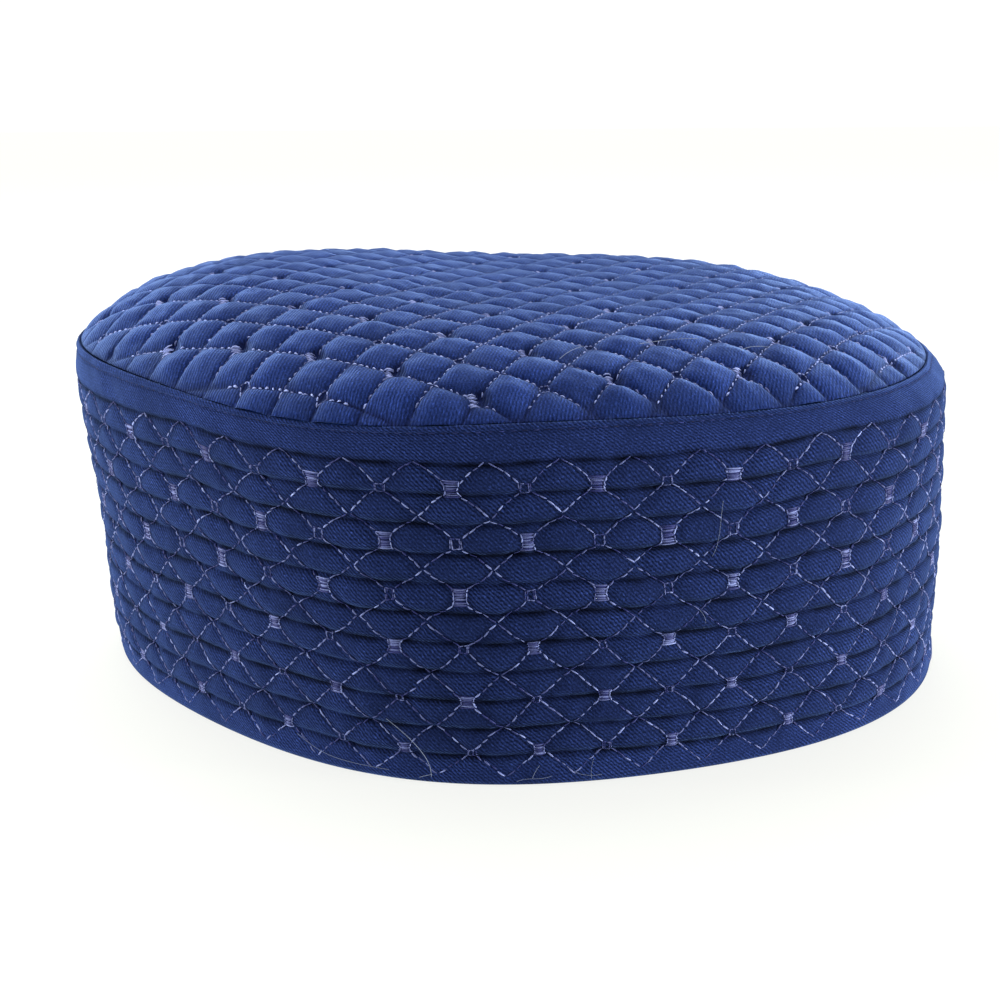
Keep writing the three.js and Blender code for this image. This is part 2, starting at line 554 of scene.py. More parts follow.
@dataclass(frozen=True)
class BandNet:
    """The band's embroidered net. Node columns and rows are counted from one front column and the top row."""

    columns: int = 42
    pitch: float = 14.0
    first_arc: float = -25.75
    rows: int = 6
    top_row: float = 64.5
    row_spacing: float = 11.35

    def place(self, column: Array, row: Array) -> tuple[Array, Array]:
        """The arc and height of a place counted in columns and rows."""
        return self.first_arc + self.pitch * column, self.top_row - self.row_spacing * row

    def counts(self, arc: Array, height: Array) -> tuple[Array, Array]:
        """The column and row counts of a place."""
        return (arc - self.first_arc) / self.pitch, (self.top_row - height) / self.row_spacing

    @property
    def line_spacing(self) -> float:
        """The distance between neighbouring parallel lines."""
        return self.pitch * self.row_spacing / math.hypot(self.pitch, self.row_spacing)

    def line_distance(self, arc: Array, height: Array) -> Array:
        """The distance to the nearest stitched line.

        Args:
            arc: lengths round the band from the middle of its front.
            height: heights on the band.

        Returns:
            Distances in millimetres.
        """
        column, row = self.counts(arc, height)
        rising, falling = column + row, column - row
        nearest = np.minimum(abs(rising - np.rint(rising)), abs(falling - np.rint(falling)))
        within = np.clip(np.minimum(row + 0.5, self.rows - 0.5 - row) * 8, 0, 1)
        return nearest * self.line_spacing + (1 - within) * self.pitch

    def nodes(self) -> tuple[Array, Array, Array]:
        """Column and row of every node, and whether it is a satin bar. The others are open squares."""
        column, row = np.meshgrid(np.arange(self.columns), np.arange(self.rows), indexing="ij")
        return column.ravel(), row.ravel(), (column + row).ravel() % 2 == 1


@dataclass(frozen=True)
class RibbedCloth:
    """The band's outer cloth over its stuffed ribs, as a relief on the band's form."""

    form: BandForm
    net: BandNet
    channels: int = 11
    spacing: float = 6.29
    channel_depth: float = 0.46
    channel_width: float = 0.6
    rib_height: float = 0.32
    fullness: float = 0.85
    gather: float = 0.3
    plain_run: float = 0.7
    plain_swell: float = 0.12
    pinch_depth: float = 0.4
    pinch_width: float = 1.0
    node_level: float = -0.1
    node_reach: float = 2.2
    square_reach: float = 0.62
    wander: Ripples = Ripples(11, 26, 110, 0.32)
    wander_across: float = 0.4
    free_run: float = 8.0
    dents: Ripples = Ripples(12, 34, 120, 0.22)
    stuffing: Ripples = Ripples(13, 7, 30, 0.09)
    stuffing_lost: float = 0.5
    puckers: Ripples = Ripples(14, 2.4, 6.0, 0.05, count=28)
    puckers_left: float = 0.35
    beside_channel: float = 1.6
    seam_droop: SeamDroop = SeamDroop()
    # Painted shade: these set how far the cloth's colour is darkened in the channels, the topstitching's
    # groove, on the ribs and by the net, where shade would fall.
    crease_below: float = 0.8
    crease_above: float = 1.2
    crease_painted_shade: float = 0.82
    crease_least_painted_shade: float = 0.3
    crease_painted_shade_change: Ripples = Ripples(15, 6, 18, 0.2)
    rib_shade: float = 0.18
    net_shade: float = 0.26
    stitch_below: float = 1.15
    stitch_below_varies: float = 0.4
    stitch_groove: float = 0.22
    groove_painted_shade: float = 0.45
    groove_width: float = 0.35
    edge_roll: float = 0.24
    roll_width: float = 0.45

    @property
    def hem_top(self) -> float:
        """The height of the lowest channel."""
        return self.form.top_channel - (self.channels - 1) * self.spacing

    def gathered(self, level: Array) -> Array:
        """Heights of levels on the flat cloth, which turns in beside the channels and is lower there.

        Args:
            level: levels on the flat cloth.

        Returns:
            Heights in millimetres.
        """
        turn = (level - self.hem_top) / self.spacing
        drawn = self.gather * self.spacing * np.sin(2 * math.pi * turn) / (2 * math.pi)
        return np.where((turn > 0) & (turn < self.channels - 1), level - drawn, level)

    def lowered(self, arc: Array, height: Array) -> Array:
        """Heights on the plain strip, which hangs with the seam in front."""
        depth = self.seam_droop.depth(self.form.plan.angle_at(arc))
        return height - depth * np.minimum(self.form.strip_share(height), 1) ** 2

    def crease(self, level: Array) -> Array:
        """How deep in a channel a level lies, from 0 to 1. It reaches further up than down, so that painted
        shade darkens the lower lip of the rib above.

        Args:
            level: levels on the flat cloth.

        Returns:
            Shares of the full depth.
        """
        height = self.gathered(level)
        turn = np.clip((height - self.hem_top) / self.spacing, 0, self.channels - 1)
        width = np.where(turn > np.rint(turn), self.crease_above, self.crease_below)
        return np.exp(-((self.channel_distance(height) / width) ** 2))

    def stitch_level(self, arc: Array) -> Array:
        """The level of the row of topstitching, nearer the seam at the right end than at the left."""
        angle = self.form.plan.angle_at(arc)
        return self.form.height - self.stitch_below + self.stitch_below_varies * np.cos(angle)

    def along_stitches(self, arc: Array, level: Array) -> Array:
        """How close a level lies to the row of topstitching, from 0 to 1."""
        return np.exp(-(((level - self.stitch_level(arc)) / self.groove_width) ** 2))

    def along_net(self, arc: Array, level: Array) -> Array:
        """How close a place lies to the net's threads, from 0 to 1."""
        return np.exp(-((self.net.line_distance(arc, level) / self.pinch_width) ** 2))

    def painted_shade(self, arc: Array, level: Array) -> Array:
        """How much painted shade darkens the cloth: most in channels, some in the topstitching's groove, a
        little on the ribs and by the net.

        Args:
            arc: lengths round the band from the middle of its front.
            level: levels on the flat cloth.

        Returns:
            Shares of the painted shade colour.
        """
        ribbed = (level < self.form.top_channel) & (level > self.hem_top)
        change = np.clip(self.crease_painted_shade + self.crease_painted_shade_change.at(arc, level), self.crease_least_painted_shade, 1)
        crease = self.crease(level) * change
        groove = self.groove_painted_shade * self.along_stitches(arc, level)
        rib = ribbed * (self.rib_shade + self.net_shade * self.along_net(arc, level))
        return np.maximum(np.maximum(crease, groove), rib)

    def seam_roll(self, arc: Array, level: Array) -> Array:
        """The rolled edge between the seam and the topstitching, and the groove that the stitches draw.

        Args:
            arc: lengths round the band from the middle of its front.
            level: levels on the flat cloth.

        Returns:
            Relief in millimetres.
        """
        middle = (self.stitch_level(arc) + self.form.height) / 2
        roll = self.edge_roll * np.exp(-(((level - middle) / self.roll_width) ** 2))
        return roll - self.stitch_groove * self.along_stitches(arc, level)

    def ribs(self, height: Array) -> Array:
        """The even relief of channels and ribs at heights on the band.

        Args:
            height: heights on the band.

        Returns:
            Relief in millimetres.
        """
        turn = (height - self.hem_top) / self.spacing
        part = np.mod(turn, 1)
        rib = self.rib_height * np.maximum(4 * part * (1 - part), 0) ** self.fullness
        beyond = np.maximum(-turn, turn - (self.channels - 1)) * self.spacing
        plain = self.plain_swell * (1 - np.exp(-np.maximum(beyond, 0) / self.plain_run))
        channel = self.channel_depth * np.exp(-((self.channel_distance(height) / self.channel_width) ** 2))
        return np.where((turn > 0) & (turn < self.channels - 1), rib, plain) - channel

    def channel_distance(self, height: Array) -> Array:
        """The distance to the nearest channel."""
        turn = np.clip((height - self.hem_top) / self.spacing, 0, self.channels - 1)
        return abs(height - self.hem_top - np.rint(turn) * self.spacing)

    def node_pull(self, arc: Array, height: Array) -> Array:
        """How strongly the nearest embroidered node holds the cloth flat, from 0 to 1.

        Args:
            arc: lengths round the band from the middle of its front.
            height: heights on the band.

        Returns:
            The share of each place.
        """
        column, row = self.net.counts(arc, height)
        near_row = np.clip(np.rint(row), 0, self.net.rows - 1)
        along = (column - np.rint(column)) * self.net.pitch
        across = (row - near_row) * self.net.row_spacing
        bar = np.mod(np.rint(column) + near_row, 2)
        reach = self.node_reach * (self.square_reach + (1 - self.square_reach) * bar)
        return np.exp(-((np.hypot(along, across) / reach) ** 4))

    def relief(self, arc: Array, level: Array) -> Array:
        """How far the outer cloth stands out from the band's form at places on the flat cloth.

        Args:
            arc: lengths round the band from the middle of its front.
            level: levels on the flat cloth.

        Returns:
            Relief in millimetres.
        """
        height = self.gathered(level)
        near = np.exp(-((self.channel_distance(height) / self.beside_channel) ** 2))
        cloth = self.ribs(height) + self.seam_roll(arc, level)
        cloth = cloth + self.stuffing.at(arc, level) * (1 - self.stuffing_lost * near)
        cloth = cloth + self.puckers.at(arc, level) * (self.puckers_left + near)
        cloth = cloth - self.pinch_depth * self.along_net(arc, level)
        pull = self.node_pull(arc, level)
        return cloth * (1 - pull) + self.node_level * pull

    def freedom(self, height: Array) -> Array:
        """How free the band is to wander and dent, from 0 at its edges to 1."""
        return np.clip(np.minimum(height, self.form.height - height) / self.free_run, 0, 1)

    def point(self, arc: Array, level: Array, lift: Array | float = 0.0) -> Array:
        """Places on the outer cloth, or lifted off it.

        Args:
            arc: lengths round the band from the middle of its front.
            level: levels on the flat cloth.
            lift: distance off the cloth.

        Returns:
            Places in millimetres.
        """
        height = self.gathered(level)
        free = self.freedom(height)
        moved = height + self.wander.at(arc, height * self.wander_across) * free
        out = self.relief(arc, level) + self.dents.at(arc, height) * free + lift
        return self.form.point(arc, self.lowered(arc, moved), out)


@dataclass(frozen=True)
class CrownForm:
    """The crown's smooth top, without its puffs. Places are in the oval's frame."""

    band: BandForm
    inset: float = 0.4
    edge: float = 1.0
    padding: float = 3.6
    dome_height: float = 11.4
    dome_fall_per_mm: float = -0.0061
    shoulder_power: float = 6.2
    shoulder_to_right: float = 0.2
    shoulder_to_back: float = 0.25
    swells: tuple[tuple[float, float, float], ...] = ((-14.0, -1.2, 30.0), (72.0, 3.2, 40.0))
    seam_droop: SeamDroop = SeamDroop()
    droop_run: float = 6.0
    droop_spread: float = 0.5

    def droop(self, x: Array, y: Array) -> Array:
        """How the soft edge hangs with the seam in front, as a movement out and down near the edge.

        Args:
            x: plan places to the right.
            y: plan places to the back.

        Returns:
            Movements in millimetres.
        """
        angle, share = self.polar(x, y)
        depth = self.seam_droop.depth(angle)
        near = np.clip(1 - (1 - share) * self.radius(angle) / self.droop_run, 0, 1) ** 2
        out = depth * self.droop_spread * near
        return np.stack((out * np.cos(angle), out * np.sin(angle), -depth * near), -1)

    def radius(self, angle: Array) -> Array:
        """The crown's radius at angles about its middle."""
        band = self.band
        return band.plan.radius(angle) + band.stand_out(angle, np.full_like(angle, band.height)) - self.inset

    def polar(self, x: Array, y: Array) -> tuple[Array, Array]:
        """Angle of a place about the crown's middle, and its share of the way to the edge."""
        angle = np.arctan2(y - self.band.lean_y, x - self.band.lean_x)
        return angle, np.hypot(x - self.band.lean_x, y - self.band.lean_y) / self.radius(angle)

    def plan_at(self, angle: Array, share: Array | float) -> tuple[Array, Array]:
        """Plan place at an angle and a share of the way to the edge."""
        radius = self.radius(angle) * share
        return self.band.lean_x + radius * np.cos(angle), self.band.lean_y + radius * np.sin(angle)

    def seat(self, x: Array, y: Array) -> Array:
        """Height of the band's top edge at a place's angle."""
        angle, _ = self.polar(x, y)
        return self.band.raised(angle, np.full_like(x, self.band.height), y)

    def top(self, x: Array, y: Array) -> Array:
        """Height of the smooth top.

        Args:
            x: plan places to the right.
            y: plan places to the back.

        Returns:
            Heights in millimetres.
        """
        angle, share = self.polar(x, y)
        inner = np.minimum(share, 1)
        lean = self.shoulder_to_right * np.cos(angle) + self.shoulder_to_back * np.sin(angle)
        power = self.shoulder_power * (1 + lean)
        dome = self.dome_height * (1 + self.dome_fall_per_mm * x)
        for swell_x, height, spread in self.swells:
            dome = dome + height * np.exp(-(((x - swell_x) / spread) ** 2))
        level = self.band.raised(np.full_like(x, math.pi), np.full_like(x, self.band.height), y)
        return level + (self.seat(x, y) - level) * inner + self.edge + dome * (1 - inner**power)

    def tucked(self, x: Array, y: Array) -> Array:
        """Height of the edge that is turned in under the puffs, down with the seam where it hangs."""
        angle, _ = self.polar(x, y)
        return self.seat(x, y) - self.seam_droop.depth(angle)

    def underside(self, x: Array, y: Array) -> Array:
        """Height of the crown's inner face."""
        return np.maximum(self.seat(x, y), self.top(x, y) - self.padding)

    def normal(self, x: Array, y: Array, step: float = 0.6) -> Array:
        """The way out of the smooth top, worked out a little inside the edge.

        Args:
            x: plan places to the right.
            y: plan places to the back.
            step: the distance over which the slope is taken.

        Returns:
            Directions of length one.
        """
        angle, share = self.polar(x, y)
        x, y = self.plan_at(angle, np.minimum(share, 0.985))
        slope_x = (self.top(x + step, y) - self.top(x - step, y)) / (2 * step)
        slope_y = (self.top(x, y + step) - self.top(x, y - step)) / (2 * step)
        out = np.stack((-slope_x, -slope_y, np.ones_like(slope_x)), -1)
        return out / np.linalg.norm(out, axis=-1, keepdims=True)


@dataclass(frozen=True)
class QuiltNet:
    """The crown's net. Its lines are whole counts along two ways that cross at nearly a right angle."""

    half_length: float = 6.9
    half_width: float = 6.7
    turn: float = math.radians(16)
    start_x: float = -27.4
    start_y: float = -67.3

    def place(self, rising: Array, falling: Array) -> tuple[Array, Array]:
        """The plan place at two counts of lines.

        Args:
            rising: counts along one way of the net's lines.
            falling: counts along the other way.

        Returns:
            Places to the right and to the back.
        """
        along = (rising + falling) * self.half_length
        across = (rising - falling) * self.half_width
        cos, sin = math.cos(self.turn), math.sin(self.turn)
        return self.start_x + along * cos - across * sin, self.start_y + along * sin + across * cos

    def counts(self, x: Array, y: Array) -> tuple[Array, Array]:
        """The counts of lines at a plan place.

        Args:
            x: plan places to the right.
            y: plan places to the back.

        Returns:
            Counts along the two ways.
        """
        cos, sin = math.cos(self.turn), math.sin(self.turn)
        x, y = x - self.start_x, y - self.start_y
        along = (x * cos + y * sin) / self.half_length
        across = (y * cos - x * sin) / self.half_width
        return (along + across) / 2, (along - across) / 2

    def middle_counts(self, form: CrownForm) -> tuple[float, float]:
        """The whole counts nearest the crown's middle."""
        rising, falling = self.counts(np.array(form.band.lean_x), np.array(form.band.lean_y))
        return float(np.rint(rising)), float(np.rint(falling))

    @property
    def side(self) -> float:
        """The length of a cell's side."""
        return math.hypot(self.half_length, self.half_width)


@dataclass(frozen=True)
class QuiltedCloth:
    """The crown's outer cloth over its padding, as a relief on the crown's form."""

    form: CrownForm
    net: QuiltNet
    sink: float = 0.8
    puff: float = 0.5
    fullness: float = 0.62
    edge_run: float = 1.6
    bar_pit: float = 1.1
    bar_pit_aside: float = 1.2
    bar_pit_reach: float = 1.6
    square_pit: float = 0.3
    square_pit_reach: float = 1.0
    droop_hold: float = 0.6
    pit_squash: float = 0.8
    stuffing: Ripples = Ripples(21, 9, 34, 0.1)
    stuffing_power: float = 0.4
    puckers: Ripples = Ripples(22, 2.8, 6.0, 0.08, count=28)
    swell: Ripples = Ripples(23, 9, 24, 0.3)
    back_softness: float = 0.3
    back_starts: float = -42.0
    back_run: float = 60.0

    def softness(self, y: Array) -> Array:
        """How full the relief is, from 1 in front to less at the back, where the padding is softer."""
        return 1 - self.back_softness * np.clip((y - self.back_starts) / self.back_run, 0, 1)

    def relief(self, rising: Array, falling: Array) -> Array:
        """How far the outer cloth stands off the smooth top.

        Args:
            rising: counts along one way of the net's lines.
            falling: counts along the other way.

        Returns:
            Relief in millimetres.
        """
        x, y = self.net.place(rising, falling)
        a, b = np.mod(rising, 1), np.mod(falling, 1)
        pillow = np.maximum(16 * a * (1 - a) * b * (1 - b), 0) ** self.fullness
        full = self.sink + self.puff * (1 + self.swell.at(x, y))
        angle, share = self.form.polar(x, y)
        hangs = self.form.droop(x, y)[..., 2]
        to_edge = np.maximum(1 - share, 0) * self.form.radius(angle) - self.droop_hold * hangs
        hold = 1 - np.exp(-to_edge / self.edge_run)
        cloth = -self.sink + full * pillow * hold
        cloth = cloth + (self.stuffing.at(x, y) + self.puckers.at(x, y)) * pillow**self.stuffing_power * hold
        return (cloth - self.pits(rising, falling) * hold) * self.softness(y)

    def pits(self, rising: Array, falling: Array) -> Array:
        """How deep the stitching draws the cloth in beside each bar and in the middle of each open square.

        Args:
            rising: counts along one way of the net's lines.
            falling: counts along the other way.

        Returns:
            Depths in millimetres.
        """
        net = self.net
        shift = self.bar_pit_aside / (2 * net.half_length)
        near_a, near_b = np.rint(rising - shift), np.rint(falling - shift)
        along = (rising - near_a + falling - near_b) * net.half_length - self.bar_pit_aside
        across = (rising - near_a - falling + near_b) * net.half_width
        is_bar = (np.mod(near_a, 2) == 0) & (np.mod(near_b, 2) == 0)
        away = np.hypot(along, across * self.pit_squash) / self.bar_pit_reach
        bar_pit = np.where(is_bar, self.bar_pit * np.exp(-(away**4)), 0.0)
        node_a, node_b = np.rint(rising), np.rint(falling)
        away = np.hypot(rising - node_a, falling - node_b) * net.side / self.square_pit_reach
        is_square = (np.mod(node_a, 2) == 1) & (np.mod(node_b, 2) == 1)
        return bar_pit + np.where(is_square, self.square_pit * np.exp(-(away**2)), 0.0)

    def point(self, rising: Array, falling: Array, lift: Array | float = 0.0) -> Array:
        """Places on the outer cloth, or lifted off it, in the row frame.

        Args:
            rising: counts along one way of the net's lines.
            falling: counts along the other way.
            lift: distance off the cloth.

        Returns:
            Places in millimetres.
        """
        x, y = self.net.place(rising, falling)
        smooth = np.stack((x, y, self.form.top(x, y)), -1)
        out = np.asarray(self.relief(rising, falling) + lift)[..., None]
        moved = smooth + self.form.normal(x, y) * out + self.form.droop(x, y)
        return moved + np.array((self.form.band.plan.middle_x, 0, 0))


@dataclass(frozen=True)
class CottonTwill:
    """Piece-dyed cotton twill: matt, soft with fine fuzz that lights up at its edges, with slanting ribs.

    Args:
        name: the material's name.
        face: sRGB colour of the cloth's face.
        painted_shade_colour: sRGB colour of the painted shade deep in its creases.
        bloom: sRGB colour of its fuzz.
        slant: the weave ribs' direction on the cloth, in degrees.
        rib_pitch: millimetres from rib to rib, a little coarser than the 0.5 of fine twill so that it shows.
        float_pitch: millimetres from one yarn float to the next along a rib.
        fuzz_grain: millimetres across a tuft of fuzz.
        lint_grain: millimetres across a pale speck.
        fade_patch: millimetres across a patch of more or less wear.
        rib_depth: how deep the weave is, in millimetres.
        contrast: how much lighter a rib is than the groove beside it, as a share.
        sheen: how strongly the fuzz lights up at grazing angles.
        sheen_roughness: how widely it does so.
    """

    name: str
    face: str
    painted_shade_colour: str
    bloom: str
    slant: float
    rib_pitch: float = 0.66
    float_pitch: float = 0.5
    fuzz_grain: float = 0.35
    lint_grain: float = 0.28
    fade_patch: float = 14.0
    rib_depth: float = 0.055
    contrast: float = 0.72
    sheen: float = 0.65
    sheen_roughness: float = 0.38

    def build(self) -> bpy.types.Material:
        """Makes the material from the cloth's UV map, whose unit is a metre of cloth.

        Returns:
            The material.
        """
        material, tree = blank_material(self.name)
        add = partial(add_node, tree)
        cloth = add("UVMap", uv_map=CLOTH_UV)
        turn = (0, 0, math.radians(90 - self.slant))
        flat = add("Mapping", {"Vector": cloth, "Rotation": turn, "Scale": (1 / MM, 1 / MM, 1 / MM)})
        # The wave node repeats every pi / 10 at scale one.
        wave_unit = 2 * math.pi / 20
        wave = {"Vector": flat, "Scale": wave_unit / self.rib_pitch, "Distortion": 3.4, "Detail": 3.0}
        ribs = add("TexWave", wave | {"Detail Scale": 1.8}, bands_direction="X").outputs["Fac"]
        wave = {"Vector": flat, "Scale": wave_unit / self.float_pitch, "Distortion": 1.2, "Detail": 1.0}
        floats = add("TexWave", wave | {"Detail Scale": 2.0}, bands_direction="DIAGONAL").outputs["Fac"]
        weave = add("Math", {0: floats, 1: 0.35, 2: ribs}, operation="MULTIPLY_ADD")
        slub = add("TexNoise", {"Vector": flat, "Scale": 0.9, "Detail": 2.0, "Roughness": 0.6})
        grain = {"Vector": flat, "Scale": 1 / self.fuzz_grain, "Detail": 3.0, "Roughness": 0.7}
        fuzz = add("TexNoise", grain)
        patches = {"Vector": flat, "Scale": 1 / self.fade_patch, "Detail": 4.0, "Roughness": 0.6}
        fade = add("TexNoise", patches)
        stretched = add("Mapping", {"Vector": flat, "Scale": (1.0, 0.35, 1.0)})
        specks = add("TexNoise", {"Vector": stretched, "Scale": 1 / self.lint_grain, "Detail": 1.0})
        # For each share of the dye's strength what feeds it, its range, and the strengths at the two ends.
        shares = (
            (fade, 0.3, 0.7, 0.82, 1.2),
            (weave, 0.1, 1.2, 1 - self.contrast, 1 + self.contrast),
            (fuzz, 0.3, 0.72, 0.42, 1.66),
            (specks, 0.56, 0.74, 1.0, 2.1),
            (fade, 0.38, 0.6, 0.4, 1.0),
        )
        names = ("Value", "From Min", "From Max", "To Min", "To Max")
        worn, yarn, grain, lint, patchy = (add("MapRange", dict(zip(names, share))) for share in shares)
        yarn = add("Mix", {"Factor": patchy, "A": 1.0, "B": yarn})
        strength = worn
        for share in (yarn, grain, lint):
            strength = add("Math", {0: strength, 1: share}, operation="MULTIPLY")
        # Painted shade: the attribute mixes the face colour towards a darker colour in creases, grooves and
        # hollows, where shade would fall.
        depth = add("Attribute", attribute_name=PAINTED_SHADE_ATTRIBUTE).outputs["Fac"]
        dyes_and_painted_shade = {"Factor": depth, "A": linear(self.face), "B": linear(self.painted_shade_colour)}
        dyed = add("Mix", dyes_and_painted_shade, data_type="RGBA").outputs["Result"]
        colour = add("VectorMath", {0: dyed, "Scale": strength}, operation="SCALE")
        relief = add("Math", {0: fuzz, 1: 0.5, 2: weave}, operation="MULTIPLY_ADD")
        relief = add("Math", {0: slub, 1: 0.6, 2: relief}, operation="MULTIPLY_ADD")
        bump = add("Bump", {"Strength": 1.0, "Distance": self.rib_depth * MM, "Height": relief})
        finish = {
            "Base Color": colour,
            "Roughness": 0.95,
            "Specular IOR Level": 0.04,
            "Sheen Weight": self.sheen,
            "Sheen Roughness": self.sheen_roughness,
            "Sheen Tint": linear(self.bloom),
            "Normal": bump,
        }
        add("OutputMaterial", {"Surface": add("BsdfPrincipled", finish)})
        return material


@dataclass(frozen=True)
class SpunThread:
    """Sewing or embroidery thread: fine filaments with a silky gloss, each stitch a little lighter or darker.

    Args:
        name: the material's name.
        light: sRGB colour of the lightest stitches.
        dark: sRGB colour of the darkest stitches.
        gloss: roughness, lower on rayon than on cotton.
        strand_grain: millimetres across a bundle of filaments, coarser than the real ones so that it shows.
    """

    name: str
    light: str
    dark: str
    gloss: float = 0.5
    strand_grain: float = 0.16

    def build(self) -> bpy.types.Material:
        """Makes the material from Object coordinates and each stitch's own shade.

        Returns:
            The material.
        """
        material, tree = blank_material(self.name)
        add = partial(add_node, tree)
        place = add("TexCoord").outputs["Object"]
        strands = add("TexNoise", {"Vector": place, "Scale": 1 / (self.strand_grain * MM), "Detail": 2.0})
        # The shade attribute holds each stitch's own tone, with painted light and shade laid into it where
        # the stitches are laid.
        shade = add("Attribute", attribute_name=SHADE_ATTRIBUTE).outputs["Fac"]
        mixed = add("Math", {0: strands, 1: 0.5, 2: shade}, operation="MULTIPLY_ADD")
        share = add("MapRange", {"Value": mixed, "From Min": 0.25, "From Max": 1.25})
        dyes_and_painted_shade = {"Factor": share, "A": linear(self.dark), "B": linear(self.light)}
        colour = add("Mix", dyes_and_painted_shade, data_type="RGBA").outputs["Result"]
        bump = add("Bump", {"Strength": 0.6, "Distance": 0.04 * MM, "Height": strands})
        finish = {"Base Color": colour, "Roughness": self.gloss, "Specular IOR Level": 0.25, "Normal": bump}
        add("OutputMaterial", {"Surface": add("BsdfPrincipled", finish)})
        return material


@dataclass
class SideBand:
    """The padded side band, from the seam down its outside, round the rim and up its plain inside."""

    cloth: RibbedCloth
    material: bpy.types.Material
    settling: ClothSettling = ClothSettling(pressure=0.6, furthest=0.12)
    held_reach: float = 0.5
    columns: int = 660
    merged: float = 0.002
    lip_height: float = 0.45
    lip_inner: float = 0.34
    ledge_drop: float = 0.3
    rim_round: float = 0.5
    strip_parts: tuple[float, ...] = (
        0.03, 0.06, 0.095, 0.13, 0.165, 0.2, 0.25, 0.33, 0.45, 0.58, 0.7, 0.8, 0.89, 0.955
    )
    rib_parts: tuple[float, ...] = (0.0, 0.045, 0.115, 0.215, 0.34, 0.47, 0.6, 0.73, 0.84, 0.92, 0.965)
    hem_parts: tuple[float, ...] = (0.96, 0.88, 0.76, 0.62, 0.46, 0.3, 0.16)
    inner_heights: tuple[float, ...] = (0.5, 3.0, 9.0, 20.0, 34.0, 48.0, 60.0, 69.0, 74.0, 76.6)
    held_pull: float = 0.3
    inner_painted_shade: float = 0.3

    def outside_heights(self) -> Array:
        """Heights of the rows down the outside, closest together beside the channels.

        Returns:
            Heights from the seam down.
        """
        cloth = self.cloth
        top = cloth.form.height + self.lip_height
        strip = top - (top - cloth.form.top_channel) * np.array(self.strip_parts)
        ribs = [
            cloth.hem_top + (rib + part) * cloth.spacing
            for rib in range(cloth.channels - 1)
            for part in self.rib_parts
        ]
        hem = cloth.hem_top * np.array(self.hem_parts)
        return np.concatenate((strip, [cloth.form.top_channel], np.array(ribs)[::-1], hem))

    def profile(self) -> tuple[Array, Array, Array]:
        """The rows of the closed section.

        Returns:
            Heights, distances out, and 1 where the cloth's own relief is added, else 0.
        """
        form = self.cloth.form
        top = form.height + self.lip_height
        outside = self.outside_heights()
        low = form.height - self.ledge_drop
        lip = [(low, -self.lip_inner), (top - 0.12, -self.lip_inner), (top, -0.16)]
        rim = [(self.rim_round * 0.3, -0.1), (0.0, -self.rim_round), (0.0, -form.wall + self.rim_round)]
        inside = [(height, -form.wall) for height in self.inner_heights]
        ledge = [(low, -form.wall + 0.3), (low, -self.lip_inner)]
        rows = lip + [(height, 0.0) for height in outside] + rim + inside + ledge
        added = [0] * len(lip) + [1] * len(outside) + [0] * (len(rim) + len(inside) + len(ledge))
        heights, outs = np.array(rows).T
        return heights, outs, np.array(added, float)

    def held(self, arc: Array, level: Array) -> Array:
        """Whether the cloth is held at places on it: channels, net and nodes, and the plain strip and hem.

        Args:
            arc: lengths round the band from the middle of its front.
            level: levels on the flat cloth.

        Returns:
            True where it is held.
        """
        cloth = self.cloth
        sewn = cloth.channel_distance(cloth.gathered(level)) < self.held_reach / 2
        netted = cloth.net.line_distance(arc, level) < self.held_reach
        plain = (level > cloth.form.top_channel) | (level < cloth.hem_top)
        return sewn | netted | plain | (cloth.node_pull(arc, level) > self.held_pull)

    def build(self) -> bpy.types.Object:
        """Wraps a grid of cloth into the band, settles and closes it, and dresses it.

        Returns:
            The dressed piece.
        """
        heights, outs, added = self.profile()
        band, column, row = cloth_grid("ribbed_band", self.columns, len(heights) - 1)
        mesh = band.data
        round_length = self.cloth.form.plan.round_length
        arc = (column / self.columns - 0.5) * round_length
        height, out, relief = heights[row], outs[row], added[row]
        cloth = self.cloth
        dents = cloth.dents.at(arc, height) * cloth.freedom(height)
        lip = out > -2 * self.lip_inner
        plain = cloth.form.point(arc, np.where(lip, cloth.lowered(arc, height), height), out + dents)
        places = np.where(relief[:, None] > 0, cloth.point(arc, height), plain)
        steps = np.hypot(np.diff(heights), np.diff(outs))
        run = np.concatenate(([0.0], np.cumsum(steps)))
        set_cloth_uv(mesh, np.stack((arc, -run[row]), 1))
        # Painted shade: the outside gets the cloth's own painted shade, and the plain inside a little
        # throughout.
        painted_shade = np.where(relief > 0, cloth.painted_shade(arc, height), self.inner_painted_shade)
        set_attribute(mesh, PAINTED_SHADE_ATTRIBUTE, painted_shade)
        held = self.held(arc, height) | (relief == 0) | (column % self.columns == 0)
        set_attribute(mesh, HELD_ATTRIBUTE, held)
        move_points(mesh, places)
        self.settling.settle(band)
        begin(band)
        bpy.ops.object.mode_set(mode="EDIT")
        bpy.ops.mesh.select_all(action="SELECT")
        bpy.ops.mesh.remove_doubles(threshold=self.merged * MM)
        bpy.ops.mesh.normals_make_consistent(inside=False)
        bpy.ops.object.mode_set(mode="OBJECT")
        finish_piece(band, self.material)
        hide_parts(Node.SIDE_BAND.value)
        return band


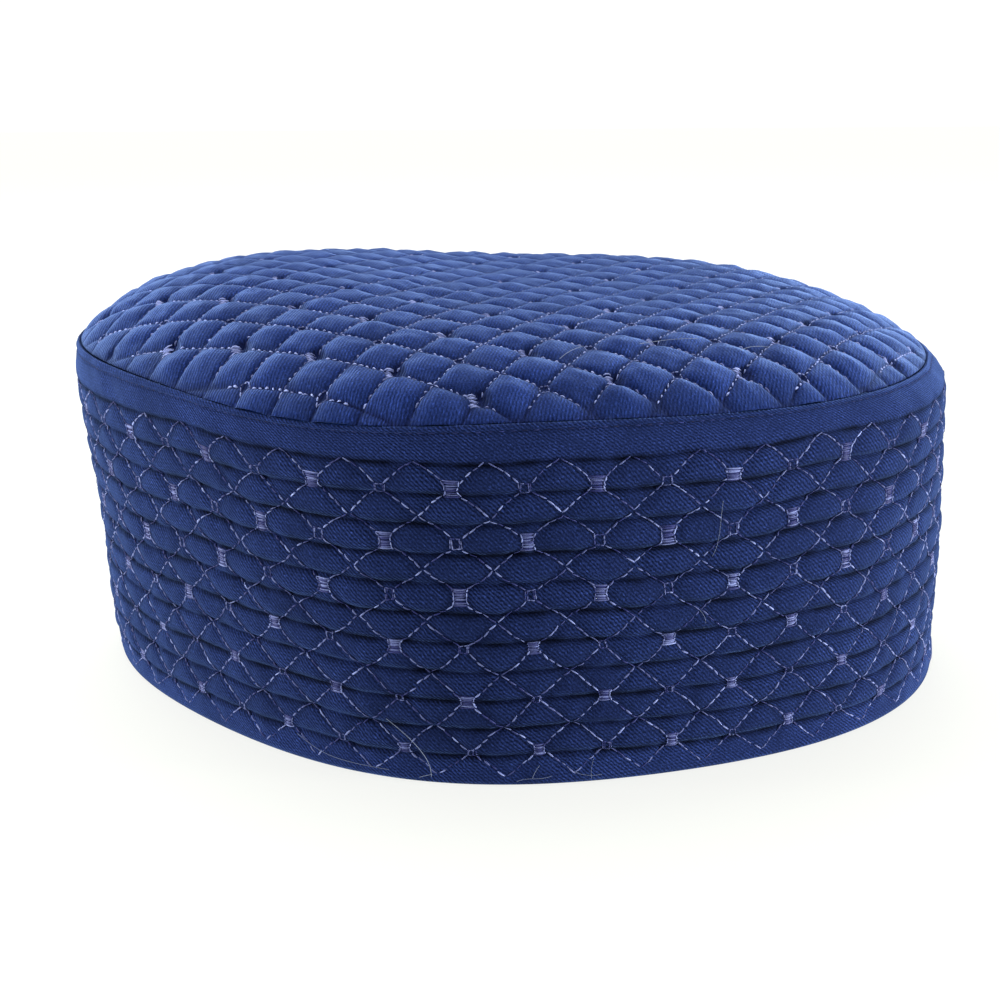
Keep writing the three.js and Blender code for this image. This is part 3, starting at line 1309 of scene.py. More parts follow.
@dataclass
class QuiltedCrown:
    """The padded crown, a closed body with puffs above and a smooth inner face."""

    cloth: QuiltedCloth
    material: bpy.types.Material
    settling: ClothSettling = ClothSettling(pressure=0.8, furthest=0.5)
    held_reach: float = 0.28
    held_round_node: float = 1.7
    held_edge: float = 0.985
    faces_per_cell: int = 14
    merged: float = 0.004
    reach: int = 15
    gather: float = 0.45
    tucked_share: float = 0.982
    underside_shares: tuple[float, ...] = (0.965, 0.92, 0.85, 0.7, 0.45, 0.2)

    def count_at(self, step: Array) -> Array:
        """Counts of net lines at grid steps, with the steps closer together beside the lines."""
        even = step / self.faces_per_cell
        return even - self.gather * np.sin(2 * math.pi * even) / (2 * math.pi)

    def held(self, rising: Array, falling: Array) -> Array:
        """Whether the cloth is sewn down at places on it: along the net's lines and round its nodes.

        Args:
            rising: counts along one way of the net's lines.
            falling: counts along the other way.

        Returns:
            True where it is held.
        """
        side = self.cloth.net.side
        line_a, line_b = np.rint(rising), np.rint(falling)
        away_a, away_b = abs(rising - line_a) * side, abs(falling - line_b) * side
        node = np.mod(line_a + line_b, 2) == 0
        return (np.minimum(away_a, away_b) < self.held_reach) | (
            node & (np.hypot(away_a, away_b) < self.held_round_node)
        )

    def build(self) -> bpy.types.Object:
        """Shapes a grid of cloth over the padding, trims it to the oval, settles it and closes it below.

        Returns:
            The dressed piece.
        """
        steps = 2 * self.reach * self.faces_per_cell
        crown, column, row = cloth_grid("quilted_crown", steps, steps)
        form, net = self.cloth.form, self.cloth.net
        middle = net.middle_counts(form)
        rising = self.count_at(column.astype(float)) - self.reach + middle[0]
        falling = self.count_at(row.astype(float)) - self.reach + middle[1]
        x, y = net.place(rising, falling)
        angle, share = form.polar(x, y)
        outside = share > 1
        edge_x, edge_y = form.plan_at(angle, 1.0)
        x, y = np.where(outside, edge_x, x), np.where(outside, edge_y, y)
        rising, falling = net.counts(x, y)
        places = self.cloth.point(rising, falling)
        full = self.cloth.sink + self.cloth.puff
        depth = np.clip((self.cloth.puff - self.cloth.relief(rising, falling)) / full, 0, 1)
        mesh = crown.data
        set_cloth_uv(mesh, np.stack((x, y), 1))
        # Painted shade: the colour darkens in the valleys between the puffs, and less so towards the back.
        set_attribute(mesh, PAINTED_SHADE_ATTRIBUTE, depth**3 * self.cloth.softness(y))
        set_attribute(mesh, HELD_ATTRIBUTE, self.held(rising, falling) | (share > self.held_edge))
        move_points(mesh, places)
        select_in(crown, "FACE", lambda face: all(outside[v] for v in face.vertices))
        bpy.ops.mesh.delete(type="FACE")
        bpy.ops.mesh.select_all(action="SELECT")
        bpy.ops.mesh.remove_doubles(threshold=self.merged * MM)
        bpy.ops.object.mode_set(mode="OBJECT")
        self.settling.settle(crown)
        bpy.ops.object.mode_set(mode="EDIT")
        bpy.ops.mesh.select_all(action="SELECT")
        bpy.ops.mesh.region_to_loop()
        self.extrude_ring(crown, self.tucked_share, form.tucked)
        for ring_share in self.underside_shares:
            self.extrude_ring(crown, ring_share, form.underside)
        bpy.ops.mesh.merge(type="CENTER")
        bpy.ops.mesh.select_all(action="SELECT")
        bpy.ops.mesh.remove_doubles(threshold=self.merged * MM)
        bpy.ops.mesh.normals_make_consistent(inside=False)
        bpy.ops.object.mode_set(mode="OBJECT")
        finish_piece(crown, self.material)
        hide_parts(Node.CROWN.value)
        return crown

    def extrude_ring(self, crown: bpy.types.Object, share: float, height: Callable[..., Array]) -> None:
        """Extrudes the selected edge loop and moves it to a share of the way to the edge.

        Args:
            crown: the crown, in edit mode with its open edge selected.
            share: the new ring's share of the way from the middle to the edge.
            height: gives the ring's heights from its plan places.
        """
        bpy.ops.mesh.extrude_region_move(TRANSFORM_OT_translate={"value": (0, 0, 0)})
        bpy.ops.object.mode_set(mode="OBJECT")
        mesh, form = crown.data, self.cloth.form
        chosen = np.array([v.index for v in mesh.vertices if v.select])
        points = points_of(mesh) / MM
        middle = form.band.plan.middle_x
        angle, _ = form.polar(points[chosen, 0] - middle, points[chosen, 1])
        x, y = form.plan_at(angle, share)
        points[chosen] = np.stack((x + middle, y, height(x, y)), 1)
        move_points(mesh, points)
        bpy.ops.object.mode_set(mode="EDIT")


@dataclass(frozen=True)
class StitchModel:
    """One stitch, modelled once: its points along X from -0.5 to 0.5, across Y and up Z, and its faces."""

    points: Array
    faces: tuple[tuple[int, ...], ...]

    @classmethod
    def modelled(cls, end_size: float = 0.6, sides: int = 5, cuts: int = 2) -> "StitchModel":
        """Models a stitch as a short thread with tapered ends.

        Args:
            end_size: the ends' size beside its middle.
            sides: sides of its section.
            cuts: rings between its ends.

        Returns:
            The stitch, one long and with a section of radius one.
        """
        deselect_all()
        bpy.ops.mesh.primitive_cylinder_add(vertices=sides, radius=1, depth=1, rotation=(0, math.pi / 2, 0))
        stitch = bpy.context.object
        bpy.ops.object.transform_apply(location=False, rotation=True, scale=False)
        ends = [v.co.x for v in stitch.data.vertices]
        select_in(stitch, "EDGE", lambda edge: ends[edge.vertices[0]] * ends[edge.vertices[1]] < 0)
        bpy.ops.mesh.subdivide(number_cuts=cuts)
        select_in(stitch, "VERT", lambda vertex: abs(vertex.co.x) > 0.49)
        bpy.ops.transform.resize(value=(1, end_size, end_size))
        bpy.ops.mesh.select_all(action="SELECT")
        bpy.ops.mesh.normals_make_consistent(inside=False)
        bpy.ops.object.mode_set(mode="OBJECT")
        made = cls(points_of(stitch.data), tuple(tuple(face.vertices) for face in stitch.data.polygons))
        bpy.data.objects.remove(stitch)
        return made


@dataclass
class Stitching:
    """Many copies of one stitch laid on a cloth, joined into one piece.

    Args:
        name: the piece's name.
        stitch: the stitch that is copied.
        thread_radius: half the thread's thickness.
        surface: gives places from the cloth's own two ways and a lift off it.
        seed: which draw of small differences.
        arch: how far a stitch's middle stands over its ends.
        unit: millimetres for one count along the cloth's two ways.
    """

    name: str
    stitch: StitchModel
    thread_radius: float
    surface: Callable[..., Array]
    seed: int
    arch: float = 0.1
    unit: float = 1.0
    arch_sunk: float = 0.45
    thickness_varies: float = 0.12
    shade_varies: float = 0.25
    lengths: list[Array] = field(default_factory=list)

    def lay(
        self, start: Array, end: Array, lift: float | Array, shade: float | Array
    ) -> None:
        """Lays one stitch for each row of starts and ends.

        Args:
            start: places on the cloth where the stitches start, one row each.
            end: places where they end.
            lift: height of the thread's middle line over the cloth, for all or for each.
            shade: how light the stitches are.
        """
        draw = np.random.default_rng(self.seed + len(self.lengths))
        span = (end - start) * self.unit
        length = np.linalg.norm(span, axis=1)[:, None]
        ahead = span / length
        aside = np.stack((-ahead[:, 1], ahead[:, 0]), 1)
        middle = (start + end) / 2 * self.unit
        along, across, up = self.stitch.points.T
        thick = self.thread_radius * (1 + self.thickness_varies * draw.standard_normal((len(start), 1)))
        lengthwise = ahead[:, None, :] * (along[None, :, None] * length[:, :, None])
        sideways = aside[:, None, :] * (across[None, :, None] * thick[:, :, None])
        flat = (middle[:, None, :] + lengthwise + sideways) / self.unit
        bow = self.arch * (1 - (2 * along[None, :]) ** 2) - self.arch * self.arch_sunk
        lifted = np.reshape(lift, (-1, 1)) + up[None, :] * thick + bow
        points = self.surface(flat[..., 0], flat[..., 1], lifted)
        shades = np.clip(shade + self.shade_varies * draw.standard_normal(len(start)), 0, 1)
        shades = np.repeat(shades, len(along))
        self.lengths.append(np.concatenate((points.reshape(-1, 3), shades[:, None]), 1))

    def build(self, material: bpy.types.Material, slot: Slot | None) -> bpy.types.Object:
        """Joins all that was laid into one mesh piece and dresses it.

        Args:
            material: the material that it gets.
            slot: not used.

        Returns:
            The dressed piece.
        """
        laid = np.concatenate(self.lengths)
        firsts = range(0, len(laid), len(self.stitch.points))
        faces = [tuple(first + corner for corner in face) for first in firsts for face in self.stitch.faces]
        mesh = bpy.data.meshes.new(self.name)
        mesh.from_pydata((laid[:, :3] * MM).tolist(), [], faces)
        set_attribute(mesh, SHADE_ATTRIBUTE, laid[:, 3])
        piece = bpy.data.objects.new(self.name, mesh)
        bpy.context.scene.collection.objects.link(piece)
        finish_piece(piece, material)
        return piece


def dashes(
    start: Array, end: Array, count: int, filled: float, draw: np.random.Generator
) -> tuple[Array, Array]:
    """Divides lines into equal stitches with a small gap after each.

    Args:
        start: the lines' starts, one row each.
        end: the lines' ends.
        count: stitches on each line.
        filled: share of the pitch that a stitch covers.
        draw: random draws for small differences.

    Returns:
        Starts and ends of all the stitches.
    """
    jitter = DASH_JITTER / count * draw.standard_normal((2, len(start), count))
    span = (end - start)[:, None, :]
    starts, ends = (
        start[:, None, :] + span * ((np.arange(count) + (1 + side * filled) / 2) / count + moved)[..., None]
        for side, moved in zip((-1, 1), jitter)
    )
    return starts.reshape(-1, 2), ends.reshape(-1, 2)


@dataclass
class BandEmbroidery:
    """The band's net of running stitches, with satin bars and open squares where its lines meet."""

    cloth: RibbedCloth
    material: bpy.types.Material
    thread_radius: float = 0.155
    over_channel: float = 0.3
    stitches_on_arm: int = 4
    arm_filled: float = 0.88
    arm_sway: float = 0.09
    arm_light: float = 0.35
    arm_channel_painted_shade: float = 0.3
    arm_from: float = 0.98
    arm_to: float = 0.49
    bar_half: tuple[float, float] = (1.75, 1.65)
    bar_thread_radius: float = 0.13
    bar_threads: int = 14
    bar_size_varies: float = 0.1
    bar_sway: float = 0.1
    bar_rise_sway: float = 0.06
    bar_slant: float = 0.04
    bar_edges: tuple[tuple[int, float], ...] = ((-1, 0.3), (1, 0.6))
    bar_edge_stitches: int = 4
    bar_edge_gap: float = 0.07
    waist: float = 0.72
    square_half: tuple[float, float] = (1.05, 0.98)
    square_thread_radius: float = 0.125
    square_insets: tuple[float, ...] = (0.0, 0.27)
    lowest_size: float = 0.76
    unevenness: float = 0.13

    def size_at(self, level: Array) -> Array:
        """How large the bars and squares are at levels on the band, beside the top row's."""
        net = self.cloth.net
        return 1 - (1 - self.lowest_size) * (net.top_row - level) / (net.row_spacing * (net.rows - 1))

    def build(self) -> list[bpy.types.Object]:
        """Embroiders the whole band.

        Returns:
            The dressed pieces.
        """
        column, row, bar = self.cloth.net.nodes()
        nodes = np.stack(self.cloth.net.place(column, row), 1)
        draw = np.random.default_rng(31)
        parts = (self.arms(nodes, bar, draw), self.bars(nodes[bar], draw), self.squares(nodes[~bar], draw))
        return [part.build(self.material, Slot.THREAD) for part in parts]

    def arms(self, nodes: Array, bar: Array, draw: np.random.Generator) -> Stitching:
        """Sews the four arms of every node, out to where they cross their neighbours' arms.

        Args:
            nodes: arc and level of every node.
            bar: whether each node is a bar.
            draw: random draws for small differences.

        Returns:
            The stitches laid.
        """
        model = StitchModel.modelled()
        arms = Stitching("band_net_stitches", model, self.thread_radius, self.cloth.point, 41, arch=0.12)
        net = self.cloth.net
        half = np.where(bar[:, None], np.array(self.bar_half), np.array(self.square_half))
        half = half * self.size_at(nodes[:, 1])[:, None]
        for side in (-1, 1):
            for rise in (-1, 1):
                corner = nodes + half * (side, rise) * self.arm_from
                crossing = nodes + np.array((side * net.pitch, rise * net.row_spacing)) * self.arm_to
                corner = corner + self.unevenness * draw.standard_normal(corner.shape)
                crossing = crossing + self.unevenness * draw.standard_normal(crossing.shape)
                starts, ends = dashes(corner, crossing, self.stitches_on_arm, self.arm_filled, draw)
                shift = self.arm_sway * draw.standard_normal((2, len(starts), 2))
                starts, ends = starts + shift[0], ends + shift[1]
                # Painted shade: stitches that dip into a channel are drawn darker as well as lower.
                crease = self.cloth.crease((starts[:, 1] + ends[:, 1]) / 2)
                arms.lay(starts, ends, self.over_channel * crease, self.arm_light - self.arm_channel_painted_shade * crease)
        return arms

    def bars(self, nodes: Array, draw: np.random.Generator) -> Stitching:
        """Sews the satin bars: level threads drawn in at the waist, and an edge of short stitches each side.

        Args:
            nodes: arc and level of every bar.
            draw: random draws for small differences.

        Returns:
            The stitches laid.
        """
        model = StitchModel.modelled()
        bars = Stitching("band_satin_bars", model, self.bar_thread_radius, self.cloth.point, 42)
        count = len(nodes)
        size = (1 + self.bar_size_varies * draw.standard_normal((2, count))) * self.size_at(nodes[:, 1])
        for thread in range(self.bar_threads):
            level = 2 * thread / (self.bar_threads - 1) - 1
            width = self.half_width_at(level) * size[0]
            rise = level * self.bar_half[1] * size[1] + self.bar_rise_sway * draw.standard_normal(count)
            slant = self.bar_slant * (-1) ** thread
            ends = []
            for side in (-1, 1):
                out = side * width + self.bar_sway * draw.standard_normal(count)
                ends.append(nodes + np.stack((out, rise + side * slant), 1))
            bars.lay(*ends, lift=0.03, shade=0.1)
        levels = np.linspace(-1, 1, self.bar_edge_stitches + 1)
        for side, shade in self.bar_edges:
            for low, high in zip(levels[:-1], levels[1:]):
                shift = self.bar_sway * draw.standard_normal((2, count, 2))
                ends = []
                gap = self.bar_edge_gap
                for at, inward, moved in ((low, gap, shift[0]), (high, -gap, shift[1])):
                    out = side * self.half_width_at(at) * size[0]
                    ends.append(nodes + np.stack((out, at * self.bar_half[1] * size[1] + inward), 1) + moved)
                bars.lay(*ends, lift=0.1, shade=shade)
        return bars

    def half_width_at(self, level: float) -> float:
        """Half the bar's width at a share of the way up from its waist."""
        return self.bar_half[0] * (self.waist + (1 - self.waist) * level**2)

    def squares(self, nodes: Array, draw: np.random.Generator) -> Stitching:
        """Sews the open squares, with two threads side by side in their upright sides.

        Args:
            nodes: arc and level of every open square.
            draw: random draws for small differences.

        Returns:
            The stitches laid.
        """
        model = StitchModel.modelled()
        squares = Stitching(
            "band_open_squares", model, self.square_thread_radius, self.cloth.point, 43, arch=0.08
        )
        across, up = self.square_half
        size = self.size_at(nodes[:, 1])[:, None]
        for inset in self.square_insets:
            out = across - inset
            sides = [((out, -up), (out, up)), ((-out, up), (-out, -up))]
            if not inset:
                sides += [((-out, -up), (out, -up)), ((out, up), (-out, up))]
            for first, last in sides:
                shift = self.unevenness * draw.standard_normal((2, len(nodes), 2))
                corners = nodes + size * first + shift[0], nodes + size * last + shift[1]
                starts, ends = dashes(*corners, 2, 0.9, draw)
                squares.lay(starts, ends, lift=0.02, shade=0.15)
        return squares


@dataclass
class CrownEmbroidery:
    """The crown's quilting stitches, with satin bars and open squares where its lines meet."""

    cloth: QuiltedCloth
    material: bpy.types.Material
    thread_radius: float = 0.14
    node_thread_radius: float = 0.13
    back_sink: float = 0.16
    back_starts: float = -38.0
    back_run: float = 34.0
    stitches_on_side: int = 6
    line_filled: float = 0.58
    line_light: float = 0.7
    painted_light_turn: float = 0.35
    light_middle: float = -10.0
    light_spread: float = 35.0
    bar_half: tuple[float, float] = (0.95, 1.4)
    bar_shift: float = -0.35
    bar_threads: int = 13
    bar_sway: float = 0.02
    waist: float = 0.7
    square_half: tuple[float, float] = (0.9, 0.9)
    node_cover: float = 1.3
    reach: int = 16
    edge_share: float = 0.975
    unevenness: float = 0.11

    def inside(self, places: Array) -> Array:
        """Whether places of the net lie on the crown, clear of its seam."""
        x, y = self.cloth.net.place(places[:, 0], places[:, 1])
        return self.cloth.form.polar(x, y)[1] < self.edge_share

    def sunk(self, places: Array) -> Array:
        """How much deeper than in front the thread lies in the padding, which grows towards the back."""
        _, y = self.cloth.net.place(places[:, 0], places[:, 1])
        return self.back_sink * np.clip((y - self.back_starts) / self.back_run, 0, 1)

    def meets(self) -> Array:
        """Every meeting of two lines on the crown and a little past it.

        Returns:
            Their counts, one row each.
        """
        middle = self.cloth.net.middle_counts(self.cloth.form)
        reach = np.arange(-self.reach, self.reach + 1)
        rising, falling = np.meshgrid(reach + middle[0], reach + middle[1], indexing="ij")
        return np.stack((rising.ravel(), falling.ravel()), 1)

    def stitching(self, name: str, end_size: float, radius: float, seed: int, arch: float) -> Stitching:
        """Starts a piece of stitching whose places are counts of the net's lines."""
        model = StitchModel.modelled(end_size)
        return Stitching(name, model, radius, self.cloth.point, seed, arch, unit=self.cloth.net.side)

    def build(self) -> list[bpy.types.Object]:
        """Embroiders the whole crown.

        Returns:
            The dressed pieces.
        """
        meets = self.meets()
        draw = np.random.default_rng(32)
        even = np.mod(meets, 2).sum(1)
        inside = self.inside(meets)
        parts = (
            self.lines(meets, draw),
            self.bars(meets[(even == 0) & inside], draw),
            self.squares(meets[(even == 2) & inside], draw),
        )
        return [part.build(self.material, Slot.THREAD) for part in parts]

    def lines(self, meets: Array, draw: np.random.Generator) -> Stitching:
        """Sews the quilting lines. Each way's stitches are painted lighter on the side of the crown that
        turns it to the light, and darker on the other.

        Args:
            meets: every meeting of two lines.
            draw: random draws for small differences.

        Returns:
            The stitches laid.
        """
        lines = self.stitching("crown_net_stitches", 0.5, self.thread_radius, 51, 0.12)
        for step, lift, to_right in (((1, 0), 0.0, 1), ((0, 1), 0.04, -1)):
            starts, ends = dashes(meets, meets + step, self.stitches_on_side, self.line_filled, draw)
            shift = self.unevenness / lines.unit * draw.standard_normal((2, len(starts), 2))
            starts, ends = starts + shift[0], ends + shift[1]
            kept = self.inside(starts) & self.inside(ends) & ~self.covered(starts, ends)
            starts, ends = starts[kept], ends[kept]
            x, _ = self.cloth.net.place(starts[:, 0], starts[:, 1])
            # Painted light: each way's thread is lighter towards one side of the crown and darker towards the
            # other.
            turned = np.tanh(to_right * (x - self.light_middle) / self.light_spread)
            lines.lay(starts, ends, lift - self.sunk(starts), self.line_light + self.painted_light_turn * turned)
        return lines

    def bars(self, nodes: Array, draw: np.random.Generator) -> Stitching:
        """Sews the satin bars, each beside the pit that it draws in the cloth.

        Args:
            nodes: counts of every bar.
            draw: random draws for small differences.

        Returns:
            The stitches laid.
        """
        bars = self.stitching("crown_satin_bars", 0.6, self.node_thread_radius, 52, 0.1)
        for thread in range(self.bar_threads):
            level = 2 * thread / (self.bar_threads - 1) - 1
            width = self.bar_half[0] * (self.waist + (1 - self.waist) * level**2)
            shift = self.bar_sway * draw.standard_normal((2, len(nodes), 2))
            start, end = (
                nodes + self.turned(self.bar_shift + side * width, level * self.bar_half[1]) + moved
                for side, moved in zip((-1, 1), shift)
            )
            bars.lay(start, end, 0.05 - self.sunk(nodes), 0.7)
        return bars

    def squares(self, nodes: Array, draw: np.random.Generator) -> Stitching:
        """Sews the open squares.

        Args:
            nodes: counts of every open square.
            draw: random draws for small differences.

        Returns:
            The stitches laid.
        """
        squares = self.stitching("crown_open_squares", 0.6, self.node_thread_radius, 53, 0.08)
        across, up = self.square_half
        corners = [(-across, -up), (across, -up), (across, up), (-across, up)]
        for first, last in zip(corners, corners[1:] + corners[:1]):
            shift = self.unevenness / squares.unit * draw.standard_normal((2, len(nodes), 2))
            side = nodes + self.turned(*first) + shift[0], nodes + self.turned(*last) + shift[1]
            starts, ends = dashes(*side, 2, 0.8, draw)
            squares.lay(starts, ends, -self.sunk(starts), 0.5)
        return squares

    def covered(self, starts: Array, ends: Array) -> Array:
        """Whether stitches lie under a bar or a square.

        Args:
            starts: where the stitches start.
            ends: where they end.

        Returns:
            True where one is.
        """
        middle = (starts + ends) / 2
        meet = np.rint(middle)
        node = np.mod(meet.sum(1), 2) == 0
        return node & (np.linalg.norm(middle - meet, axis=1) * self.cloth.net.side < self.node_cover)

    def turned(self, along: float, across: float) -> Array:
        """A distance along and across the net's own axes, as counts of its two ways of lines.

        Args:
            along: places along the cloth.
            across: places across the cloth.

        Returns:
            Counts along the two ways.
        """
        net = self.cloth.net
        along, across = along / net.half_length, across / net.half_width
        return np.array((along + across, along - across)) / 2


@dataclass
class Topstitching:
    """A row of sewing stitches just under the seam."""

    cloth: RibbedCloth
    material: bpy.types.Material
    stitch_pitch: float = 2.2
    filled: float = 0.6
    thread_radius: float = 0.12

    def build(self) -> bpy.types.Object:
        """Sews the row once round.

        Returns:
            The dressed piece.
        """
        model = StitchModel.modelled(0.5)
        seam = Stitching("seam_topstitching", model, self.thread_radius, self.cloth.point, 61)
        round_length = self.cloth.form.plan.round_length
        count = round(round_length / self.stitch_pitch)
        arc = np.arange(count) * round_length / count
        starts = np.stack((arc, self.cloth.stitch_level(arc)), 1)
        seam.lay(starts, starts + (self.filled * round_length / count, 0), lift=0.0, shade=0.3)
        return seam.build(self.material, None)


@dataclass(frozen=True)
class LooseThread:
    """One loose thread or hair: its places on a cloth, with the height that each lies off it."""

    places: tuple[tuple[float, float, float], ...]
    radius: float = 0.07


BAND_LINT = (
    LooseThread(((41.5, 59.6, 0.3), (40.6, 55.0, 0.9), (41.0, 51.6, 1.0), (39.5, 47.8, 0.2)), 0.04),
    LooseThread(
        ((-29.0, 14.4, 0.2), (-24.8, 11.4, 1.1), (-21.0, 7.4, 1.4), (-20.2, 3.8, 0.9), (-20.5, 1.4, 0.2)),
        0.06,
    ),
    LooseThread(
        ((-52.0, 5.4, 0.2), (-49.5, 4.4, 0.6), (-45.5, 2.9, 0.7), (-38.5, 2.3, 0.6), (-29.5, 2.2, 0.2)),
        0.04,
    ),
    LooseThread(((-23.0, 1.1, 0.1), (-21.6, 1.8, 0.5), (-20.3, 2.0, 0.2)), 0.06),
    LooseThread(((-2.8, 0.9, 0.1), (-0.5, 2.2, 0.5), (2.0, 1.1, 0.6), (4.5, 1.9, 0.2)), 0.04),
    LooseThread(((0.4, 1.4, 0.1), (1.0, 3.0, 0.5), (2.1, 4.2, 0.1)), 0.045),
    LooseThread(((12.8, 0.9, 0.1), (12.4, 2.9, 0.6), (13.4, 4.8, 0.1)), 0.035),
    LooseThread(((37.0, 36.0, 0.1), (38.6, 34.4, 0.6), (38.0, 32.2, 0.1)), 0.035),
    LooseThread(((9.0, 2.6, 0.1), (11.5, 1.3, 0.5), (15.0, 1.5, 0.1)), 0.035),
)
CROWN_LINT = (
    LooseThread(((22.5, -55.1, 0.3), (27.3, -50.6, 0.8), (31.0, -52.6, 0.8), (34.8, -50.7, 0.3)), 0.05),
    LooseThread(((6.0, -62.5, 0.2), (8.1, -59.2, 0.7), (11.1, -55.5, 0.3)), 0.05),
    LooseThread(((42.9, -55.1, 0.3), (46.3, -50.4, 0.7), (50.0, -49.7, 0.3)), 0.045),
)


@dataclass
class Lint:
    """The few pale loose threads and hairs that cling to the band and the crown."""

    band: RibbedCloth
    crown: QuiltedCloth
    material: bpy.types.Material

    def build(self) -> bpy.types.Object:
        """Lays every loose thread and joins them into one piece.

        Returns:
            The dressed piece.
        """
        threads = [self.thread(loose, self.band.point) for loose in BAND_LINT]
        threads += [self.thread(loose, self.on_crown) for loose in CROWN_LINT]
        begin(threads[0])
        for thread in threads:
            thread.select_set(True)
        bpy.ops.object.join()
        lint = bpy.context.object
        lint.name = "loose_threads"
        lint.data.name = "loose_threads"
        set_attribute(lint.data, SHADE_ATTRIBUTE, np.full(len(lint.data.vertices), 0.5))
        return finish_piece(lint, self.material)

    def on_crown(self, x: Array, y: Array, lift: Array) -> Array:
        """Places on the crown's cloth from plan places."""
        return self.crown.point(*self.crown.net.counts(x, y), lift)

    def thread(self, loose: LooseThread, surface: Callable[..., Array]) -> bpy.types.Object:
        """Makes one loose thread as a smooth round path, turned into a mesh.

        Args:
            loose: the thread's places and radius.
            surface: gives places from the cloth's own two ways and a distance off it.

        Returns:
            The thread as a mesh.
        """
        points = surface(*np.array(loose.places).T) * MM
        deselect_all()
        bpy.ops.curve.primitive_nurbs_path_add(location=(0, 0, 0))
        path = bpy.context.object
        curve = path.data
        curve.splines.clear()
        spline = curve.splines.new("NURBS")
        spline.points.add(len(points) - 1)
        for place, point in zip(spline.points, points):
            place.co = (*point, 1.0)
        spline.order_u = min(4, len(points))
        spline.use_endpoint_u = True
        spline.resolution_u = 5
        curve.bevel_depth = loose.radius * MM
        curve.bevel_resolution = 1
        curve.use_fill_caps = True
        bpy.ops.object.convert(target="MESH")
        return bpy.context.object


@dataclass(frozen=True)
class SoftBox:
    """A square soft box that hangs at a place in metres and faces the cap."""

    name: str
    place: tuple[float, float, float]
    size: float
    power: float
    faces: tuple[float, float, float] = (0, 0, 0.05)

    def build(self) -> None:
        """Hangs the box."""
        light = bpy.data.lights.new(self.name, "AREA")
        light.shape = "SQUARE"
        light.size = self.size
        light.energy = self.power
        lamp = bpy.data.objects.new(self.name, light)
        bpy.context.scene.collection.objects.link(lamp)
        lamp.location = self.place
        lamp.rotation_euler = (Vector(self.faces) - Vector(self.place)).to_track_quat("-Z", "Y").to_euler()


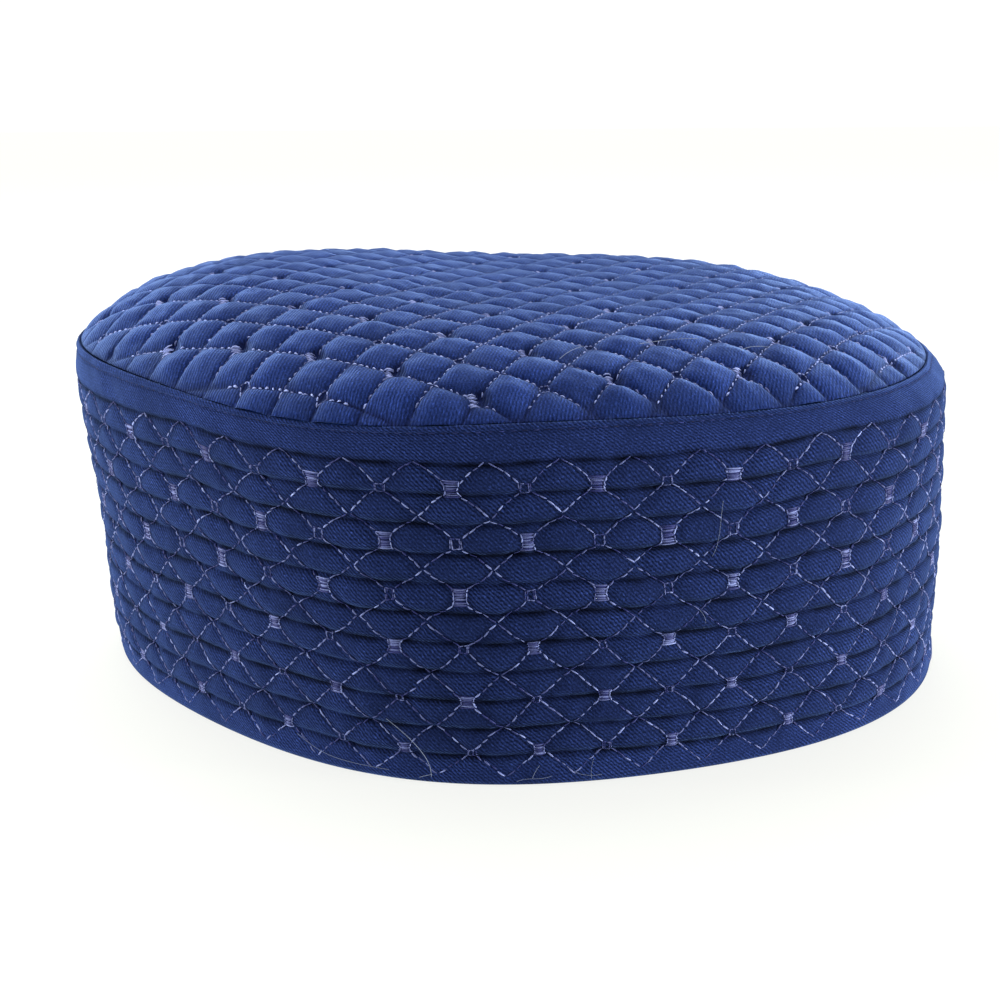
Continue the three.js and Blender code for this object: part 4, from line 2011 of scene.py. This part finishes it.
@dataclass
class Studio:
    """A pale plain floor, soft white light all round with soft boxes above and beside, and the camera."""

    floor_size: float = 6.0
    floor_glow: float = 0.78
    front_light: float = 0.22
    room_light: float = 1.05
    backdrop: float = 1.1
    front_reach: tuple[float, float] = (-0.78, -0.12)
    soft_boxes: tuple[SoftBox, ...] = (
        SoftBox("soft_box_above", (-0.12, 0.5, 0.88), 1.0, 12.0),
        SoftBox("soft_box_left", (-0.95, -0.1, 0.06), 0.12, 7.0),
        SoftBox("soft_box_right", (0.98, -0.2, 0.05), 0.12, 12.0),
    )
    aim: tuple[float, float, float] = (-2.1, -0.1, 35.61)
    distance: float = 358.3
    azimuth: float = math.radians(0.89)
    elevation: float = math.radians(17.03)
    roll: float = math.radians(-0.39)
    lens: float = 51.2
    sensor: float = 36.0

    def build(self) -> None:
        """Sets up the floor, the light and the camera."""
        self.floor()
        self.world()
        for soft_box in self.soft_boxes:
            soft_box.build()
        self.camera()

    def floor(self) -> None:
        """A matt white floor of paper, bright enough to end in the backdrop without a line."""
        deselect_all()
        bpy.ops.mesh.primitive_plane_add(size=self.floor_size, location=(0, 0, 0))
        floor = bpy.context.object
        floor.name = "studio_floor"
        material, tree = blank_material("white_paper")
        add = partial(add_node, tree)
        place = add("TexCoord").outputs["Object"]
        fibre = add("TexNoise", {"Vector": place, "Scale": 400.0, "Detail": 2.0})
        bump = add("Bump", {"Strength": 0.1, "Distance": 0.0001, "Height": fibre})
        finish = {
            "Base Color": linear("84887F"),
            "Roughness": 0.95,
            "Specular IOR Level": 0.1,
            "Emission Color": linear("FFFFFD"),
            "Emission Strength": self.floor_glow,
            "Normal": bump,
        }
        add("OutputMaterial", {"Surface": add("BsdfPrincipled", finish)})
        floor.data.materials.append(material)

    def world(self) -> None:
        """White light from all round, softer from the front, against a white backdrop."""
        world = bpy.data.worlds.new("white_room")
        world.use_nodes = True
        world.node_tree.nodes.clear()
        add = partial(add_node, world.node_tree)
        way = add("SeparateXYZ", {0: add("TexCoord").outputs["Generated"]}).outputs["Y"]
        names = ("Value", "From Min", "From Max", "To Min", "To Max")
        room = add("MapRange", dict(zip(names, (way, *self.front_reach, self.front_light, self.room_light))))
        seen = add("LightPath").outputs["Is Camera Ray"]
        strength = add("Mix", {"Factor": seen, "A": room, "B": self.backdrop})
        light = add("Background", {"Color": (1.0, 1.0, 1.0, 1.0), "Strength": strength})
        add("OutputWorld", {"Surface": light})
        bpy.context.scene.world = world
        bpy.context.scene.view_settings.view_transform = "Standard"

    def camera(self) -> None:
        """A camera at the photograph's angle, with its small roll."""
        lens = bpy.data.cameras.new("camera")
        lens.lens = self.lens
        lens.sensor_width = self.sensor
        lens.clip_start, lens.clip_end = 0.01, 20
        camera = bpy.data.objects.new("camera", lens)
        bpy.context.scene.collection.objects.link(camera)
        level, rise = math.cos(self.elevation), math.sin(self.elevation)
        back = Vector((math.sin(self.azimuth) * level, -math.cos(self.azimuth) * level, rise))
        right = Vector((0, 0, 1)).cross(back).normalized()
        up = back.cross(right)
        tilted_right = right * math.cos(self.roll) + up * math.sin(self.roll)
        tilted_up = back.cross(tilted_right)
        turn = Matrix((tilted_right, tilted_up, back)).transposed().to_4x4()
        camera.matrix_world = Matrix.Translation((Vector(self.aim) + back * self.distance) * MM) @ turn
        bpy.context.scene.camera = camera


def main() -> None:
    """Builds and dresses the cap in order, then sets up the studio."""
    logging.basicConfig(level=logging.INFO, format="%(name)s: %(message)s")
    plan = OvalPlan()
    band_form = BandForm(plan)
    ribbed = RibbedCloth(band_form, BandNet())
    quilted = QuiltedCloth(CrownForm(band_form), QuiltNet())
    band_twill = CottonTwill("band_cotton_twill", "1C2955", "050818", "80AAFE", slant=-42, sheen=0.46).build()
    crown_twill = CottonTwill(
        "crown_cotton_twill",
        "1B2C62",
        "10183E",
        "94B7F8",
        slant=75,
        rib_pitch=0.7,
        contrast=0.42,
        sheen=0.9,
        sheen_roughness=0.37,
    ).build()
    rayon = SpunThread("rayon_embroidery_thread", "A2B1EC", "282F6C").build()
    cotton = SpunThread("navy_sewing_thread", "3E4A92", "10163A", gloss=0.7).build()
    fibre = SpunThread("pale_cotton_fibre", "98A4BC", "4E5870", gloss=0.7).build()
    SideBand(ribbed, band_twill).build()
    QuiltedCrown(quilted, crown_twill).build()
    BandEmbroidery(ribbed, rayon).build()
    CrownEmbroidery(quilted, rayon).build()
    Topstitching(ribbed, cotton).build()
    Lint(ribbed, quilted, fibre).build()
    Studio().build()


if __name__ == "__main__":
    main()
